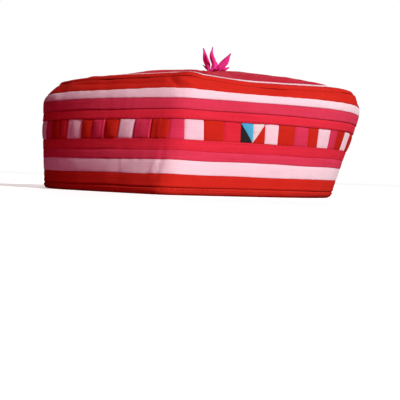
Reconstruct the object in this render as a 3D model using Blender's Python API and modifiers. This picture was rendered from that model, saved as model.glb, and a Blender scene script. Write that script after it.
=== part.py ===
"""A patchwork skullcap: a flared band of pieced cloth strips with a crease at the front and the back,
a low four-panel crown and a small tuft of cloth petals where the panels meet.

The cap stands on its rim. The front crease points to -Y, the wearer's left side is +X, +Z is up, and the
origin is on the floor below the middle of the whole cap. Lengths are written in millimetres times MM.
"""

import math

import bmesh
import bpy
import numpy as np
from mathutils import Vector

MM = 0.001

# The band: half sizes of its plan at the rim and at the top, its height, and how far the top leans to +X.
# The inside of the rim is then 55 cm round.
RIM_HALF_WIDTH = 90.5 * MM
RIM_HALF_DEPTH = 101.0 * MM
TOP_HALF_WIDTH = 102.5 * MM
TOP_HALF_DEPTH = 84.5 * MM
BAND_HEIGHT = 66.0 * MM
TOP_LEAN = 8.0 * MM
TOP_CENTRE_X = 1.5 * MM
RIM_CENTRE_X = TOP_CENTRE_X - TOP_LEAN

# The crease at the front and the back opens and rounds off from the rim to the top.
RIM_CREASE_ANGLE = math.radians(30.0)
TOP_CREASE_ANGLE = math.radians(15.0)
RIM_CREASE_RADIUS = 10.5 * MM
TOP_CREASE_RADIUS = 29.5 * MM
SIDE_ARC_ANGLE = math.radians(42.0)

# Above this share of the height the band rolls inwards, by the amounts in TOP_EDGE.
ROLL_START = 0.79
ROLL_POWER = 1.5

# How the soft band lies: turn in degrees from the front towards +X, how far its top edge rolls in, how far
# the edge drops with the roll, and how far the whole wall sags.
TURN, ROLL_IN, DROP, SAG = 0, 1, 2, 3
TOP_EDGE = (
    (0.0, 3.2 * MM, 0.5 * MM, 0.0 * MM),
    (27.0, 5.8 * MM, 4.2 * MM, 0.5 * MM),
    (58.0, 3.7 * MM, 2.1 * MM, 1.0 * MM),
    (90.0, 6.3 * MM, 2.6 * MM, 2.0 * MM),
    (135.0, 4.7 * MM, 2.1 * MM, 1.0 * MM),
    (180.0, 3.2 * MM, 1.0 * MM, 0.0 * MM),
    (225.0, 4.7 * MM, 2.1 * MM, 0.0 * MM),
    (270.0, 10.5 * MM, 3.2 * MM, -1.0 * MM),
    (305.0, 8.4 * MM, 2.6 * MM, -0.5 * MM),
    (335.0, 4.7 * MM, 1.5 * MM, 0.0 * MM),
)

# The step, as a share of the surface, over which a surface's slope is taken.
SHARE_STEP = 1e-3

# Cloth thicknesses, and the gap kept between two pieces of cloth.
STRIP_THICKNESS = 1.0 * MM
LINING_THICKNESS = 1.0 * MM
CROWN_THICKNESS = 1.5 * MM
CLOTH_GAP = 0.3 * MM
LINING_DEPTH = STRIP_THICKNESS + CLOTH_GAP
LINING_FOOT = 1.5 * MM

# The hem binding wraps the rim: this tall, on both sides of the lining.
HEM_HEIGHT = 4.5 * MM

RED = (0.86, 0.05, 0.03, 1.0)
PALE = (0.98, 0.66, 0.74, 1.0)
MAGENTA = (0.90, 0.08, 0.15, 1.0)
ROSE = (0.80, 0.05, 0.09, 1.0)
TUFT_PINK = (0.88, 0.04, 0.24, 1.0)
LINING_RED = (0.30, 0.02, 0.02, 1.0)

# The band's strips from the hem up: height on the wall, colour, rows of faces.
STRIP_NAME, STRIP_HEIGHT, STRIP_COLOUR, STRIP_ROWS = 0, 1, 2, 3
STRIPS = (
    ("red_strip_lower", 7.4 * MM, RED, 1),
    ("pale_strip_lower", 8.2 * MM, PALE, 1),
    ("magenta_strip_lower", 5.6 * MM, MAGENTA, 1),
    ("rose_strip_lower", 6.4 * MM, ROSE, 1),
    ("patchwork_row", 12.0 * MM, ROSE, 1),
    ("rose_strip_upper", 5.9 * MM, ROSE, 1),
    ("magenta_strip_upper", 6.8 * MM, MAGENTA, 1),
    ("pale_strip_upper", 5.9 * MM, PALE, 2),
    ("red_strip_upper", 8.2 * MM, RED, 3),
)
WALL_LENGTH = HEM_HEIGHT + sum(strip[STRIP_HEIGHT] for strip in STRIPS)

# The crown: how far its middle stands above the band's top, how round the rise is, and how far each
# panel swells between its seams. Two strips and four panels follow each other inwards, each between two
# shares of the way out.
CROWN_RISE = 8.5 * MM
CROWN_ROUNDNESS = 1.4
CROWN_SWELL = 1.2 * MM
CROWN_CENTRE_X = TOP_CENTRE_X + 6.3 * MM
CROWN_CENTRE_HOLE = 0.03
CROWN_RED = (1.0, 0.905)
CROWN_PALE = (0.902, 0.845)
CROWN_PANEL = (0.842, CROWN_CENTRE_HOLE)
PANEL_NAMES = ("front_right", "back_right", "back_left", "front_left")

# Stations along one quarter of the plan: crease arc, panel arc and side arc.
CREASE_STEPS, PANEL_STEPS, SIDE_STEPS = 2, 6, 8
QUARTER_STEPS = CREASE_STEPS + PANEL_STEPS + SIDE_STEPS
RING_STEPS = 4 * QUARTER_STEPS
PANEL_ROWS = 5
LINING_ROWS = (0.0, 0.27, 0.53, 0.79, 0.9, 1.0)

# The tuft: a flat button and petals, each with its turn, its rise above level, its length and its width.
# A petal grows this far out of the button's middle and is folded along its own middle. Its width follows
# a sine that starts this share of the way in.
BUTTON_RADIUS = 4.2 * MM
BUTTON_HALF_HEIGHT = 1.9 * MM
BUTTON_CLEARANCE = 0.2 * MM
BUTTON_SIDES, BUTTON_RINGS = 14, 7
PETAL_THICKNESS = 1.0 * MM
PETAL_TIP_WIDTH = 0.7 * MM
PETAL_CURL = 0.08
PETAL_FOLD = 0.35
PETAL_WIDTH_START = 0.30
PETAL_FOOT = 3.2 * MM
PETAL_ROWS = 6
PETAL_TURN, PETAL_RISE, PETAL_LENGTH, PETAL_WIDTH = 0, 1, 2, 3
PETALS = (
    (282.0, 79.0, 15.0 * MM, 4.2 * MM),
    (344.0, 85.0, 15.5 * MM, 4.0 * MM),
    (80.0, 52.0, 14.5 * MM, 4.2 * MM),
    (118.0, 24.0, 8.5 * MM, 4.6 * MM),
    (176.0, 62.0, 12.5 * MM, 4.2 * MM),
    (226.0, 34.0, 9.5 * MM, 4.6 * MM),
    (30.0, 12.0, 7.5 * MM, 4.4 * MM),
)

# Points of a grid closer than this are one point.
WELD_DISTANCE = 0.001 * MM


def clear_scene():
    """Removes whatever the scene holds."""
    for thing in list(bpy.data.objects):
        bpy.data.objects.remove(thing)


def mix(low, high, share):
    """The value this share of the way from low to high."""
    return low + (high - low) * share


def top_edge(around, column):
    """A column of TOP_EDGE at this share of the way round, eased between its rows."""
    turn = (around % 1.0) * 360.0
    rows = TOP_EDGE + ((360.0,) + TOP_EDGE[0][1:],)
    for low, high in zip(rows, rows[1:]):
        if turn <= high[TURN]:
            share = (turn - low[TURN]) / (high[TURN] - low[TURN])
            return mix(low[column], high[column], 0.5 - 0.5 * math.cos(math.pi * share))
    return rows[0][column]


def arc_radii(half_width, half_depth, crease_angle, crease_radius):
    """Radii of a plan quarter's panel arc and side arc, which carry it from the crease to the side."""
    turned = np.array(
        (
            (math.sin(SIDE_ARC_ANGLE) - math.sin(crease_angle), 1.0 - math.sin(SIDE_ARC_ANGLE)),
            (math.cos(crease_angle) - math.cos(SIDE_ARC_ANGLE), math.cos(SIDE_ARC_ANGLE)),
        )
    )
    reach = (
        half_width - crease_radius * math.sin(crease_angle),
        half_depth - crease_radius * (1.0 - math.cos(crease_angle)),
    )
    return np.linalg.solve(turned, reach)


def plan_point(around, height):
    """The band's plan at a share of the way round and a share of the height: x and y from its middle."""
    half_width = mix(RIM_HALF_WIDTH, TOP_HALF_WIDTH, height)
    half_depth = mix(RIM_HALF_DEPTH, TOP_HALF_DEPTH, height)
    crease_angle = mix(RIM_CREASE_ANGLE, TOP_CREASE_ANGLE, height)
    crease_radius = mix(RIM_CREASE_RADIUS, TOP_CREASE_RADIUS, height)
    panel_radius, side_radius = arc_radii(half_width, half_depth, crease_angle, crease_radius)

    quarter, along = divmod((around % 1.0) * 4.0, 1.0)
    steps = QUARTER_STEPS * (along if quarter % 2 == 0 else 1.0 - along)
    in_crease = min(steps / CREASE_STEPS, 1.0)
    in_panel = min(max((steps - CREASE_STEPS) / PANEL_STEPS, 0.0), 1.0)
    in_side = max((steps - CREASE_STEPS - PANEL_STEPS) / SIDE_STEPS, 0.0)
    x, y = 0.0, -half_depth
    for radius, start, end in (
        (crease_radius, 0.0, crease_angle * in_crease),
        (panel_radius, crease_angle, mix(crease_angle, SIDE_ARC_ANGLE, in_panel)),
        (side_radius, SIDE_ARC_ANGLE, mix(SIDE_ARC_ANGLE, math.pi / 2, in_side)),
    ):
        x += radius * (math.sin(end) - math.sin(start))
        y += radius * (math.cos(start) - math.cos(end))
    return (x if quarter < 2 else -x), (y if quarter in (0, 3) else -y)


def wall_face(around, height):
    """A point on the band's outer face, at a share of the way round and a share of the height."""
    x, y = plan_point(around, height)
    rolled = max((height - ROLL_START) / (1.0 - ROLL_START), 0.0) ** ROLL_POWER
    inwards = 1.0 - top_edge(around, ROLL_IN) * rolled / math.hypot(x, y)
    drop = top_edge(around, DROP) * rolled
    centre = mix(RIM_CENTRE_X, TOP_CENTRE_X, height)
    rise = (BAND_HEIGHT - top_edge(around, SAG)) * height
    return Vector((centre + x * inwards, y * inwards, rise - drop))


def square_to(surface, around, share):
    """The unit vector square to a surface that is given by a share of the way round and a second share."""
    low, high = max(share - SHARE_STEP, 0.0), min(share + SHARE_STEP, 1.0)
    along = surface(around + SHARE_STEP, share) - surface(around - SHARE_STEP, share)
    return along.cross(surface(around, high) - surface(around, low)).normalized()


def wall_point(around, height, depth):
    """A point this deep inside the band's outer face."""
    return wall_face(around, height) - depth * square_to(wall_face, around, height)


def crown_point(around, out):
    """A point on the underside of the crown, at a share of the way round and of the way out to its edge."""
    edge = wall_face(around, 1.0)
    band_top = max(edge.z, wall_point(around, 1.0, LINING_DEPTH + LINING_THICKNESS).z)
    middle = Vector((CROWN_CENTRE_X, 0.0))
    x, y = middle + (edge.xy - middle) * out
    rise = mix(BAND_HEIGHT + CROWN_RISE, band_top + CLOTH_GAP, out**CROWN_ROUNDNESS)
    swell = CROWN_SWELL * math.sin(4.0 * math.pi * around) ** 2 * 4.0 * out * (1.0 - out)
    return Vector((x, y, rise + swell))


def cloth(name, colour):
    """A matt cloth material."""
    finish = bpy.data.materials.new(name + "_cloth")
    finish.use_nodes = True
    shader = finish.node_tree.nodes["Principled BSDF"]
    shader.inputs["Base Color"].default_value = colour
    shader.inputs["Roughness"].default_value = 0.85
    shader.inputs["Metallic"].default_value = 0.0
    return finish


def finish_piece(name, mesh, colour, collection):
    """An object for a finished mesh, shaded and coloured."""
    mesh.shade_smooth()
    mesh.set_sharp_from_angle(angle=math.radians(40.0))
    mesh.materials.append(cloth(name, colour))
    piece = bpy.data.objects.new(name, mesh)
    collection.objects.link(piece)
    return piece


def grid_mesh(name, across_steps, up_steps, place):
    """A mesh of quads whose points place(share across, share up) puts, welded where they meet."""
    mesh = bpy.data.meshes.new(name)
    grid = bmesh.new()
    bmesh.ops.create_grid(grid, x_segments=across_steps, y_segments=up_steps, size=0.5)
    for point in grid.verts:
        point.co = place(point.co.x + 0.5, point.co.y + 0.5)
    bmesh.ops.remove_doubles(grid, verts=grid.verts, dist=WELD_DISTANCE)
    grid.to_mesh(mesh)
    grid.free()
    return mesh


def sheet(name, across_steps, up_steps, place, colour, thickness, offset, collection):
    """An open sheet of cloth, thickened."""
    piece = finish_piece(name, grid_mesh(name, across_steps, up_steps, place), colour, collection)
    thicken = piece.modifiers.new("Thickness", "SOLIDIFY")
    thicken.thickness = thickness
    thicken.offset = offset
    thicken.use_even_offset = True
    return piece


def ring(name, corners, place_corner, colour, collection):
    """A closed ring round the cap; place_corner(share round, corner) puts each corner of its section."""

    def place(around, along):
        return place_corner(around, corners[round(along * len(corners)) % len(corners)])

    return finish_piece(name, grid_mesh(name, RING_STEPS, len(corners), place), colour, collection)


def wall_corner(around, corner):
    """A corner of a band piece's section, given as its depth and its share of the height."""
    depth, height = corner
    point = wall_point(around, height, depth)
    if height == 0.0:
        point.z = 0.0
    return point


def crown_corner(around, corner):
    """A corner of a crown strip's section, given as its share of the way out and its lift."""
    out, lift = corner
    return crown_point(around, out) - lift * square_to(crown_point, around, out)


def wall_section(outer, inner, low, high, rows):
    """The section of a plain strip of wall between two depths and two height shares."""
    heights = [mix(low, high, row / rows) for row in range(rows + 1)]
    return [(outer, height) for height in heights] + [(inner, height) for height in reversed(heights)]


def add_lining(collection):
    """The backing wall inside the strips, from just above the rim to the top."""
    inner = LINING_DEPTH + LINING_THICKNESS
    foot = LINING_FOOT / WALL_LENGTH
    heights = [mix(foot, 1.0, share) for share in LINING_ROWS]
    section = [(LINING_DEPTH, height) for height in heights]
    section += [(inner, height) for height in reversed(heights)]
    ring("band_lining", section, wall_corner, LINING_RED, collection)


def add_hem(collection):
    """The binding folded round the rim: outer leg, flat foot and inner leg."""
    far = LINING_DEPTH + LINING_THICKNESS + CLOTH_GAP
    top = (HEM_HEIGHT - CLOTH_GAP / 2) / WALL_LENGTH
    floor = (LINING_FOOT - CLOTH_GAP) / WALL_LENGTH
    section = (
        (0.0, 0.0),
        (0.0, top),
        (STRIP_THICKNESS, top),
        (STRIP_THICKNESS, floor),
        (far, floor),
        (far, top),
        (far + STRIP_THICKNESS, top),
        (far + STRIP_THICKNESS, 0.0),
    )
    ring("hem_binding", section, wall_corner, RED, collection)


def add_strips(collection):
    """The band's strips and its patchwork row, one above the other."""
    foot = HEM_HEIGHT
    for strip in STRIPS:
        low = (foot + CLOTH_GAP / 2) / WALL_LENGTH
        foot += strip[STRIP_HEIGHT]
        high = (foot - CLOTH_GAP / 2) / WALL_LENGTH
        section = wall_section(0.0, STRIP_THICKNESS, low, high, strip[STRIP_ROWS])
        ring(strip[STRIP_NAME], section, wall_corner, strip[STRIP_COLOUR], collection)


def add_crown(collection):
    """The crown's red and pale strips, and its four panels."""
    for name, (outer, inner), colour in (
        ("crown_red_strip", CROWN_RED, RED),
        ("crown_pale_strip", CROWN_PALE, PALE),
    ):
        section = ((outer, 0.0), (outer, CROWN_THICKNESS), (inner, CROWN_THICKNESS), (inner, 0.0))
        ring(name, section, crown_corner, colour, collection)

    for number, panel in enumerate(PANEL_NAMES):

        def place(along, inwards, number=number):
            out = mix(*CROWN_PANEL, inwards)
            point = crown_point((number + along) / 4.0, out)
            if along in (0.0, 1.0):
                away = crown_point((number + 0.5) / 4.0, out) - point
                point += away.normalized() * CLOTH_GAP / 2
            return point

        sheet(
            "crown_panel_" + panel,
            QUARTER_STEPS,
            PANEL_ROWS,
            place,
            MAGENTA,
            CROWN_THICKNESS,
            1.0,
            collection,
        )


def add_petal(number, row, base, cutters):
    """One pointed petal, folded along its middle, growing out of the button."""
    turn = math.radians(row[PETAL_TURN])
    rise = math.radians(row[PETAL_RISE])
    outwards = Vector((math.sin(turn), -math.cos(turn), 0.0))
    across = Vector((math.cos(turn), math.sin(turn), 0.0))
    along = outwards * math.cos(rise) + Vector((0.0, 0.0, math.sin(rise)))
    face = across.cross(along)
    foot = base + outwards * PETAL_FOOT

    def place(side, up):
        full = row[PETAL_WIDTH] * math.sin(math.pi * mix(PETAL_WIDTH_START, 1.0, up))
        spread = (side - 0.5) * max(full, PETAL_TIP_WIDTH)
        bend = row[PETAL_LENGTH] * PETAL_CURL * math.sin(2.0 * math.pi * up)
        lift = PETAL_FOLD * abs(spread) + bend
        return foot + along * row[PETAL_LENGTH] * up + across * spread - face * lift

    petal = sheet(f"petal_{number}", 2, PETAL_ROWS, place, TUFT_PINK, PETAL_THICKNESS, 0.0, cutters)
    petal.hide_render = True
    petal.display_type = "WIRE"
    return petal


def add_tuft(collection, cutters):
    """A flat button on the crown's middle with the petals fused to it."""
    underside = crown_point(0.0, CROWN_CENTRE_HOLE).z + CROWN_THICKNESS + BUTTON_CLEARANCE
    centre = Vector((CROWN_CENTRE_X, 0.0, underside + BUTTON_HALF_HEIGHT))
    mesh = bpy.data.meshes.new("tuft")
    ball = bmesh.new()
    bmesh.ops.create_uvsphere(
        ball, u_segments=BUTTON_SIDES, v_segments=BUTTON_RINGS, radius=BUTTON_RADIUS
    )
    squash = BUTTON_HALF_HEIGHT / BUTTON_RADIUS
    bmesh.ops.scale(ball, vec=(1.0, 1.0, squash), verts=ball.verts)
    bmesh.ops.translate(ball, vec=centre, verts=ball.verts)
    ball.to_mesh(mesh)
    ball.free()
    mesh.shade_smooth()
    mesh.materials.append(cloth("tuft", TUFT_PINK))
    tuft = bpy.data.objects.new("tuft", mesh)
    collection.objects.link(tuft)
    for number, row in enumerate(PETALS):
        petal = add_petal(number, row, centre, cutters)
        fuse = tuft.modifiers.new(f"Fuse {number}", "BOOLEAN")
        fuse.operation = "UNION"
        fuse.object = petal


def build():
    """The whole cap."""
    clear_scene()
    cap = bpy.data.collections.new("patchwork_cap")
    cutters = bpy.data.collections.new("cutters")
    bpy.context.scene.collection.children.link(cap)
    bpy.context.scene.collection.children.link(cutters)
    add_lining(cap)
    add_hem(cap)
    add_strips(cap)
    add_crown(cap)
    add_tuft(cap, cutters)


build()
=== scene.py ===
"""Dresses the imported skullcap: strips, patches, hem, lining, crown and tuft, each in its own cloth.

The cap stands on its rim. Its front crease points to -Y, its left side is +X and +Z is up. A place on the
band is given by its girth, the length round the cap from the front crease towards +X, and its rise, the
length up the wall from the rim. All lengths are in metres.
"""

import logging
import math
from dataclasses import dataclass, field
from enum import Enum
from functools import cached_property
from typing import Any, Sequence

import bmesh
import bpy
import numpy as np
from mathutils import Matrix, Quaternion, Vector

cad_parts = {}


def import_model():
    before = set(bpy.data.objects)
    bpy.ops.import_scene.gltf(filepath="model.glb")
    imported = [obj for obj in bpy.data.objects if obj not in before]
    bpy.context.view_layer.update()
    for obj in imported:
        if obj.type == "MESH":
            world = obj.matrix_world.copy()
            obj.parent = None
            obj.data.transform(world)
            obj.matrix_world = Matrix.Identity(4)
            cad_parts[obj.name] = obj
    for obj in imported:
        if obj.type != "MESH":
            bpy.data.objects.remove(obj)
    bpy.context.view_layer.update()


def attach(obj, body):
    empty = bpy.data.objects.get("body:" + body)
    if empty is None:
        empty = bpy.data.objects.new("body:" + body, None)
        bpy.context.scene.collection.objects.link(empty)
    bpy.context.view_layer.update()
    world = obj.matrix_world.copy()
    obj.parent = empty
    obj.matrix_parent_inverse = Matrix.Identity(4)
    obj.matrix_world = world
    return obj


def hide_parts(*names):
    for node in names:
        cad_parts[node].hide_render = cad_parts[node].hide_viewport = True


LOG = logging.getLogger("skullcap")
MM = 0.001
BODY = "root"
CLOTH_MAP = "cloth"
SEAM_SHADE = "seam_shade"
RAISED = "raised"
TONE = "tone"
WHITE = (1.0, 1.0, 1.0, 1.0)
BLACK = (0.0, 0.0, 0.0, 1.0)

Array = np.ndarray
Pair = tuple[float, float]
Triple = tuple[float, float, float]
Piece = bpy.types.Object


class Cloth(Enum):
    """The cloths and threads that the cap is made of."""

    RED = "red"
    HEM_RED = "hem_red"
    PALE = "pale_pink"
    MAGENTA = "magenta"
    ROSE = "rose"
    RED_PATCH = "red_patch"
    MAGENTA_PATCH = "magenta_patch"
    ROSE_PATCH = "rose_patch"
    PALE_PATCH = "pale_patch"
    BLUE_PATCH = "blue_patch"
    BLACK_PATCH = "black_patch"
    WHITE_PATCH = "white_patch"
    CROWN = "crown_crimson"
    LINING = "lining"
    TUFT = "tuft_pink"
    RED_THREAD = "red_thread"
    DARK_THREAD = "dark_thread"
    ROSE_THREAD = "rose_thread"


class Cut(Enum):
    """How a patch is pieced."""

    PLAIN = "plain"
    RISING = "rising"
    FALLING = "falling"


def mix(low: Any, high: Any, share: Any) -> Any:
    """Returns the value this share of the way from low to high."""
    return low + (high - low) * share


def bell(distance: Array, width: float) -> Array:
    """Returns 1 at no distance, falling softly to nothing over a width."""
    return np.exp(-((distance / width) ** 2))


def eased(share: Array) -> Array:
    """Returns a share of 0 to 1 eased at both ends."""
    share = np.clip(share, 0.0, 1.0)
    return share * share * (3.0 - 2.0 * share)


def cosine_shares(steps: int) -> Array:
    """Returns steps + 1 shares from 0 to 1, closer together at both ends."""
    return 0.5 - 0.5 * np.cos(np.pi * np.arange(steps + 1) / steps)


@dataclass(frozen=True)
class Ridge:
    """A soft rise of cloth or shade beside a line: its height, its width and how far off it stands."""

    height: float
    width: float
    place: float = 0.0

    def at(self, away: Array) -> Array:
        """Returns how high it stands at distances from the line."""
        return self.height * bell(away - self.place, self.width)


@dataclass(frozen=True)
class Shade:
    """The darkness beside a seam: its depth and its reach."""

    depth: float
    reach: float

    def at(self, away: Array) -> Array:
        """Returns the share of shade at distances from the seam."""
        return self.depth * np.exp(-away / self.reach)


def read_between(table: Array, row: Array, column: Array, up: Array, across: Array) -> Array:
    """Reads a table that closes on itself between its places.

    Args:
        table: Values in rows and columns.
        row: The row below each place.
        column: The column before each place.
        up: The share of the way from that row to the next.
        across: The share of the way from that column to the next.

    Returns:
        The values.
    """
    rows, columns = table.shape
    low, high = (
        mix(table[line % rows, column % columns], table[line % rows, (column + 1) % columns], across)
        for line in (row, row + 1)
    )
    return mix(low, high, up)


@dataclass(frozen=True)
class ClothNoise:
    """Smooth unevenness of cloth that closes on itself round the cap."""

    seed: int
    cells_round: int
    cell_rise: float
    lattice_rows: int = 48

    def at(self, turn: Array, rise: Array) -> Array:
        """Reads the unevenness.

        Args:
            turn: Shares of the way round.
            rise: Lengths up the cloth.

        Returns:
            Values from -1 to 1.
        """
        lattice = np.random.default_rng(self.seed).uniform(-1.0, 1.0, (self.lattice_rows, self.cells_round))
        across = (turn % 1.0) * self.cells_round
        up = rise / self.cell_rise + 0.5 * self.lattice_rows
        column, row = np.floor(across).astype(int), np.floor(up).astype(int)
        return read_between(lattice, row, column, eased(up - row), eased(across - column))


@dataclass(frozen=True)
class EdgeLie:
    """How the soft top edge lies at one turn: its roll inwards, its drop and the wall's sag, in mm."""

    turn: float
    roll_in: float
    drop: float
    sag: float


@dataclass(frozen=True)
class BandForm:
    """The outer face of the band, with the sizes of the CAD source."""

    rim_half: Pair = (90.5 * MM, 101.0 * MM)
    top_half: Pair = (102.5 * MM, 84.5 * MM)
    height: float = 66.0 * MM
    wall_length: float = 70.9 * MM
    rim_centre_x: float = -6.5 * MM
    top_centre_x: float = 1.5 * MM
    crease_angle: Pair = (math.radians(30.0), math.radians(15.0))
    crease_radius: Pair = (10.5 * MM, 29.5 * MM)
    side_angle: float = math.radians(42.0)
    quarter_steps: Triple = (2.0, 6.0, 8.0)
    roll_start: float = 0.79
    roll_power: float = 1.5
    slope_step: float = 1e-3
    girth_share: float = 0.537
    girth_samples: int = 4096
    edge: tuple[EdgeLie, ...] = (
        EdgeLie(0.0, 3.2, 0.5, 0.0),
        EdgeLie(27.0, 5.8, 4.2, 0.5),
        EdgeLie(58.0, 3.7, 2.1, 1.0),
        EdgeLie(90.0, 6.3, 2.6, 2.0),
        EdgeLie(135.0, 4.7, 2.1, 1.0),
        EdgeLie(180.0, 3.2, 1.0, 0.0),
        EdgeLie(225.0, 4.7, 2.1, 0.0),
        EdgeLie(270.0, 10.5, 3.2, -1.0),
        EdgeLie(305.0, 8.4, 2.6, -0.5),
        EdgeLie(335.0, 4.7, 1.5, 0.0),
        EdgeLie(360.0, 3.2, 0.5, 0.0),
    )

    def edge_lie(self, around: Array) -> tuple[Array, Array, Array]:
        """Gives how the top edge lies.

        Args:
            around: Shares of the way round.

        Returns:
            The roll inwards, the drop and the sag.
        """
        turn = (around % 1.0) * 360.0
        turns = np.array([row.turn for row in self.edge])
        low = np.clip(np.searchsorted(turns, turn, side="left") - 1, 0, len(turns) - 2)
        share = (turn - turns[low]) / (turns[low + 1] - turns[low])
        share = 0.5 - 0.5 * np.cos(np.pi * share)
        columns = []
        for values in zip(*((row.roll_in, row.drop, row.sag) for row in self.edge)):
            column = np.array(values) * MM
            columns.append(mix(column[low], column[low + 1], share))
        return tuple(columns)

    def plan(self, around: Array, share: Array) -> tuple[Array, Array]:
        """Gives the band's plan from its middle.

        Args:
            around: Shares of the way round.
            share: Shares of the height.

        Returns:
            The x and the y lengths.
        """
        half_width = mix(self.rim_half[0], self.top_half[0], share)
        half_depth = mix(self.rim_half[1], self.top_half[1], share)
        angle = mix(*self.crease_angle, share)
        radius = mix(*self.crease_radius, share)
        side_sine, side_cosine = math.sin(self.side_angle), math.cos(self.side_angle)
        a, b = side_sine - np.sin(angle), 1.0 - side_sine
        c, d = np.cos(angle) - side_cosine, side_cosine
        reach_x = half_width - radius * np.sin(angle)
        reach_y = half_depth - radius * (1.0 - np.cos(angle))
        panel_radius = (reach_x * d - b * reach_y) / (a * d - b * c)
        side_radius = (a * reach_y - c * reach_x) / (a * d - b * c)

        quarter, along = np.divmod((around % 1.0) * 4.0, 1.0)
        in_crease, in_panel, in_side = self.quarter_steps
        steps = sum(self.quarter_steps) * np.where(quarter % 2 == 0, along, 1.0 - along)
        first = np.clip(steps / in_crease, 0.0, 1.0)
        second = np.clip((steps - in_crease) / in_panel, 0.0, 1.0)
        third = np.clip((steps - in_crease - in_panel) / in_side, 0.0, 1.0)
        x, y = 0.0 * half_width, -half_depth
        for arc, start, end in (
            (radius, 0.0 * angle, angle * first),
            (panel_radius, angle, mix(angle, self.side_angle, second)),
            (side_radius, self.side_angle, mix(self.side_angle, math.pi / 2, third)),
        ):
            x = x + arc * (np.sin(end) - np.sin(start))
            y = y + arc * (np.cos(start) - np.cos(end))
        return np.where(quarter < 2, x, -x), np.where((quarter == 0) | (quarter == 3), y, -y)

    def face(self, around: Array, share: Array) -> Array:
        """Gives points of the outer face.

        Args:
            around: Shares of the way round.
            share: Shares of the height.

        Returns:
            Points, with x, y and z last.
        """
        around, share = np.broadcast_arrays(np.asarray(around, float), np.asarray(share, float))
        x, y = self.plan(around, share)
        roll_in, drop, sag = self.edge_lie(around)
        rolled = np.clip((share - self.roll_start) / (1.0 - self.roll_start), 0.0, None) ** self.roll_power
        inwards = 1.0 - roll_in * rolled / np.hypot(x, y)
        centre = mix(self.rim_centre_x, self.top_centre_x, share)
        return np.stack((centre + x * inwards, y * inwards, (self.height - sag) * share - drop * rolled), -1)

    def square(self, around: Array, share: Array) -> Array:
        """Gives the unit vectors square to the outer face, pointing out of the cap."""
        return square_to(self.face, around, share, self.slope_step)

    def wall(self, around: Array, rise: Array, depth: Array) -> Array:
        """Returns points of the wall at shares round, lengths up from the rim and depths inside its face."""
        share = np.clip(rise / self.wall_length, 0.0, 1.0)
        return self.face(around, share) - np.asarray(depth)[..., None] * self.square(around, share)

    @cached_property
    def girth_table(self) -> tuple[Array, Array]:
        """Shares of the way round and the girths there, at the middle of the patches."""
        around = np.arange(self.girth_samples + 1) / self.girth_samples
        points = self.face(around, np.full(around.shape, self.girth_share))
        steps = np.linalg.norm(np.diff(points, axis=0), axis=1)
        return around, np.concatenate(((0.0,), np.cumsum(steps)))

    @property
    def girth(self) -> float:
        """The whole length round the band."""
        return float(self.girth_table[1][-1])

    def girths(self, columns: int) -> Array:
        """Returns evenly spaced girths, from the back crease round to just before it again."""
        return self.girth * (np.arange(columns) / columns - 0.5)

    def around_at(self, girth: Array) -> Array:
        """Returns the shares of the way round at these girths from the front crease."""
        around, girths = self.girth_table
        return np.interp(np.asarray(girth) % self.girth, girths, around)

    def cloth_lengths(self, girth: Array, up: Array) -> Array:
        """Returns the cloth map's lengths at these girths and up the section, with a closing column."""
        closed = np.concatenate((up, up[:, :1]), axis=1)
        return np.stack(np.broadcast_arrays(np.append(girth, girth[0] + self.girth), closed), -1)


def square_to(surface: Any, around: Array, share: Array, step: float) -> Array:
    """Gives the unit vectors square to a surface.

    Args:
        surface: A function of shares of the way round and a second share.
        around: Shares of the way round.
        share: The second shares.
        step: The step over which the slope is taken.

    Returns:
        Unit vectors, with x, y and z last.
    """
    along = surface(around + step, share) - surface(around - step, share)
    up = surface(around, np.clip(share + step, 0.0, 1.0)) - surface(around, np.clip(share - step, 0.0, 1.0))
    square = np.cross(along, up)
    return square / np.linalg.norm(square, axis=-1, keepdims=True)


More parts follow.
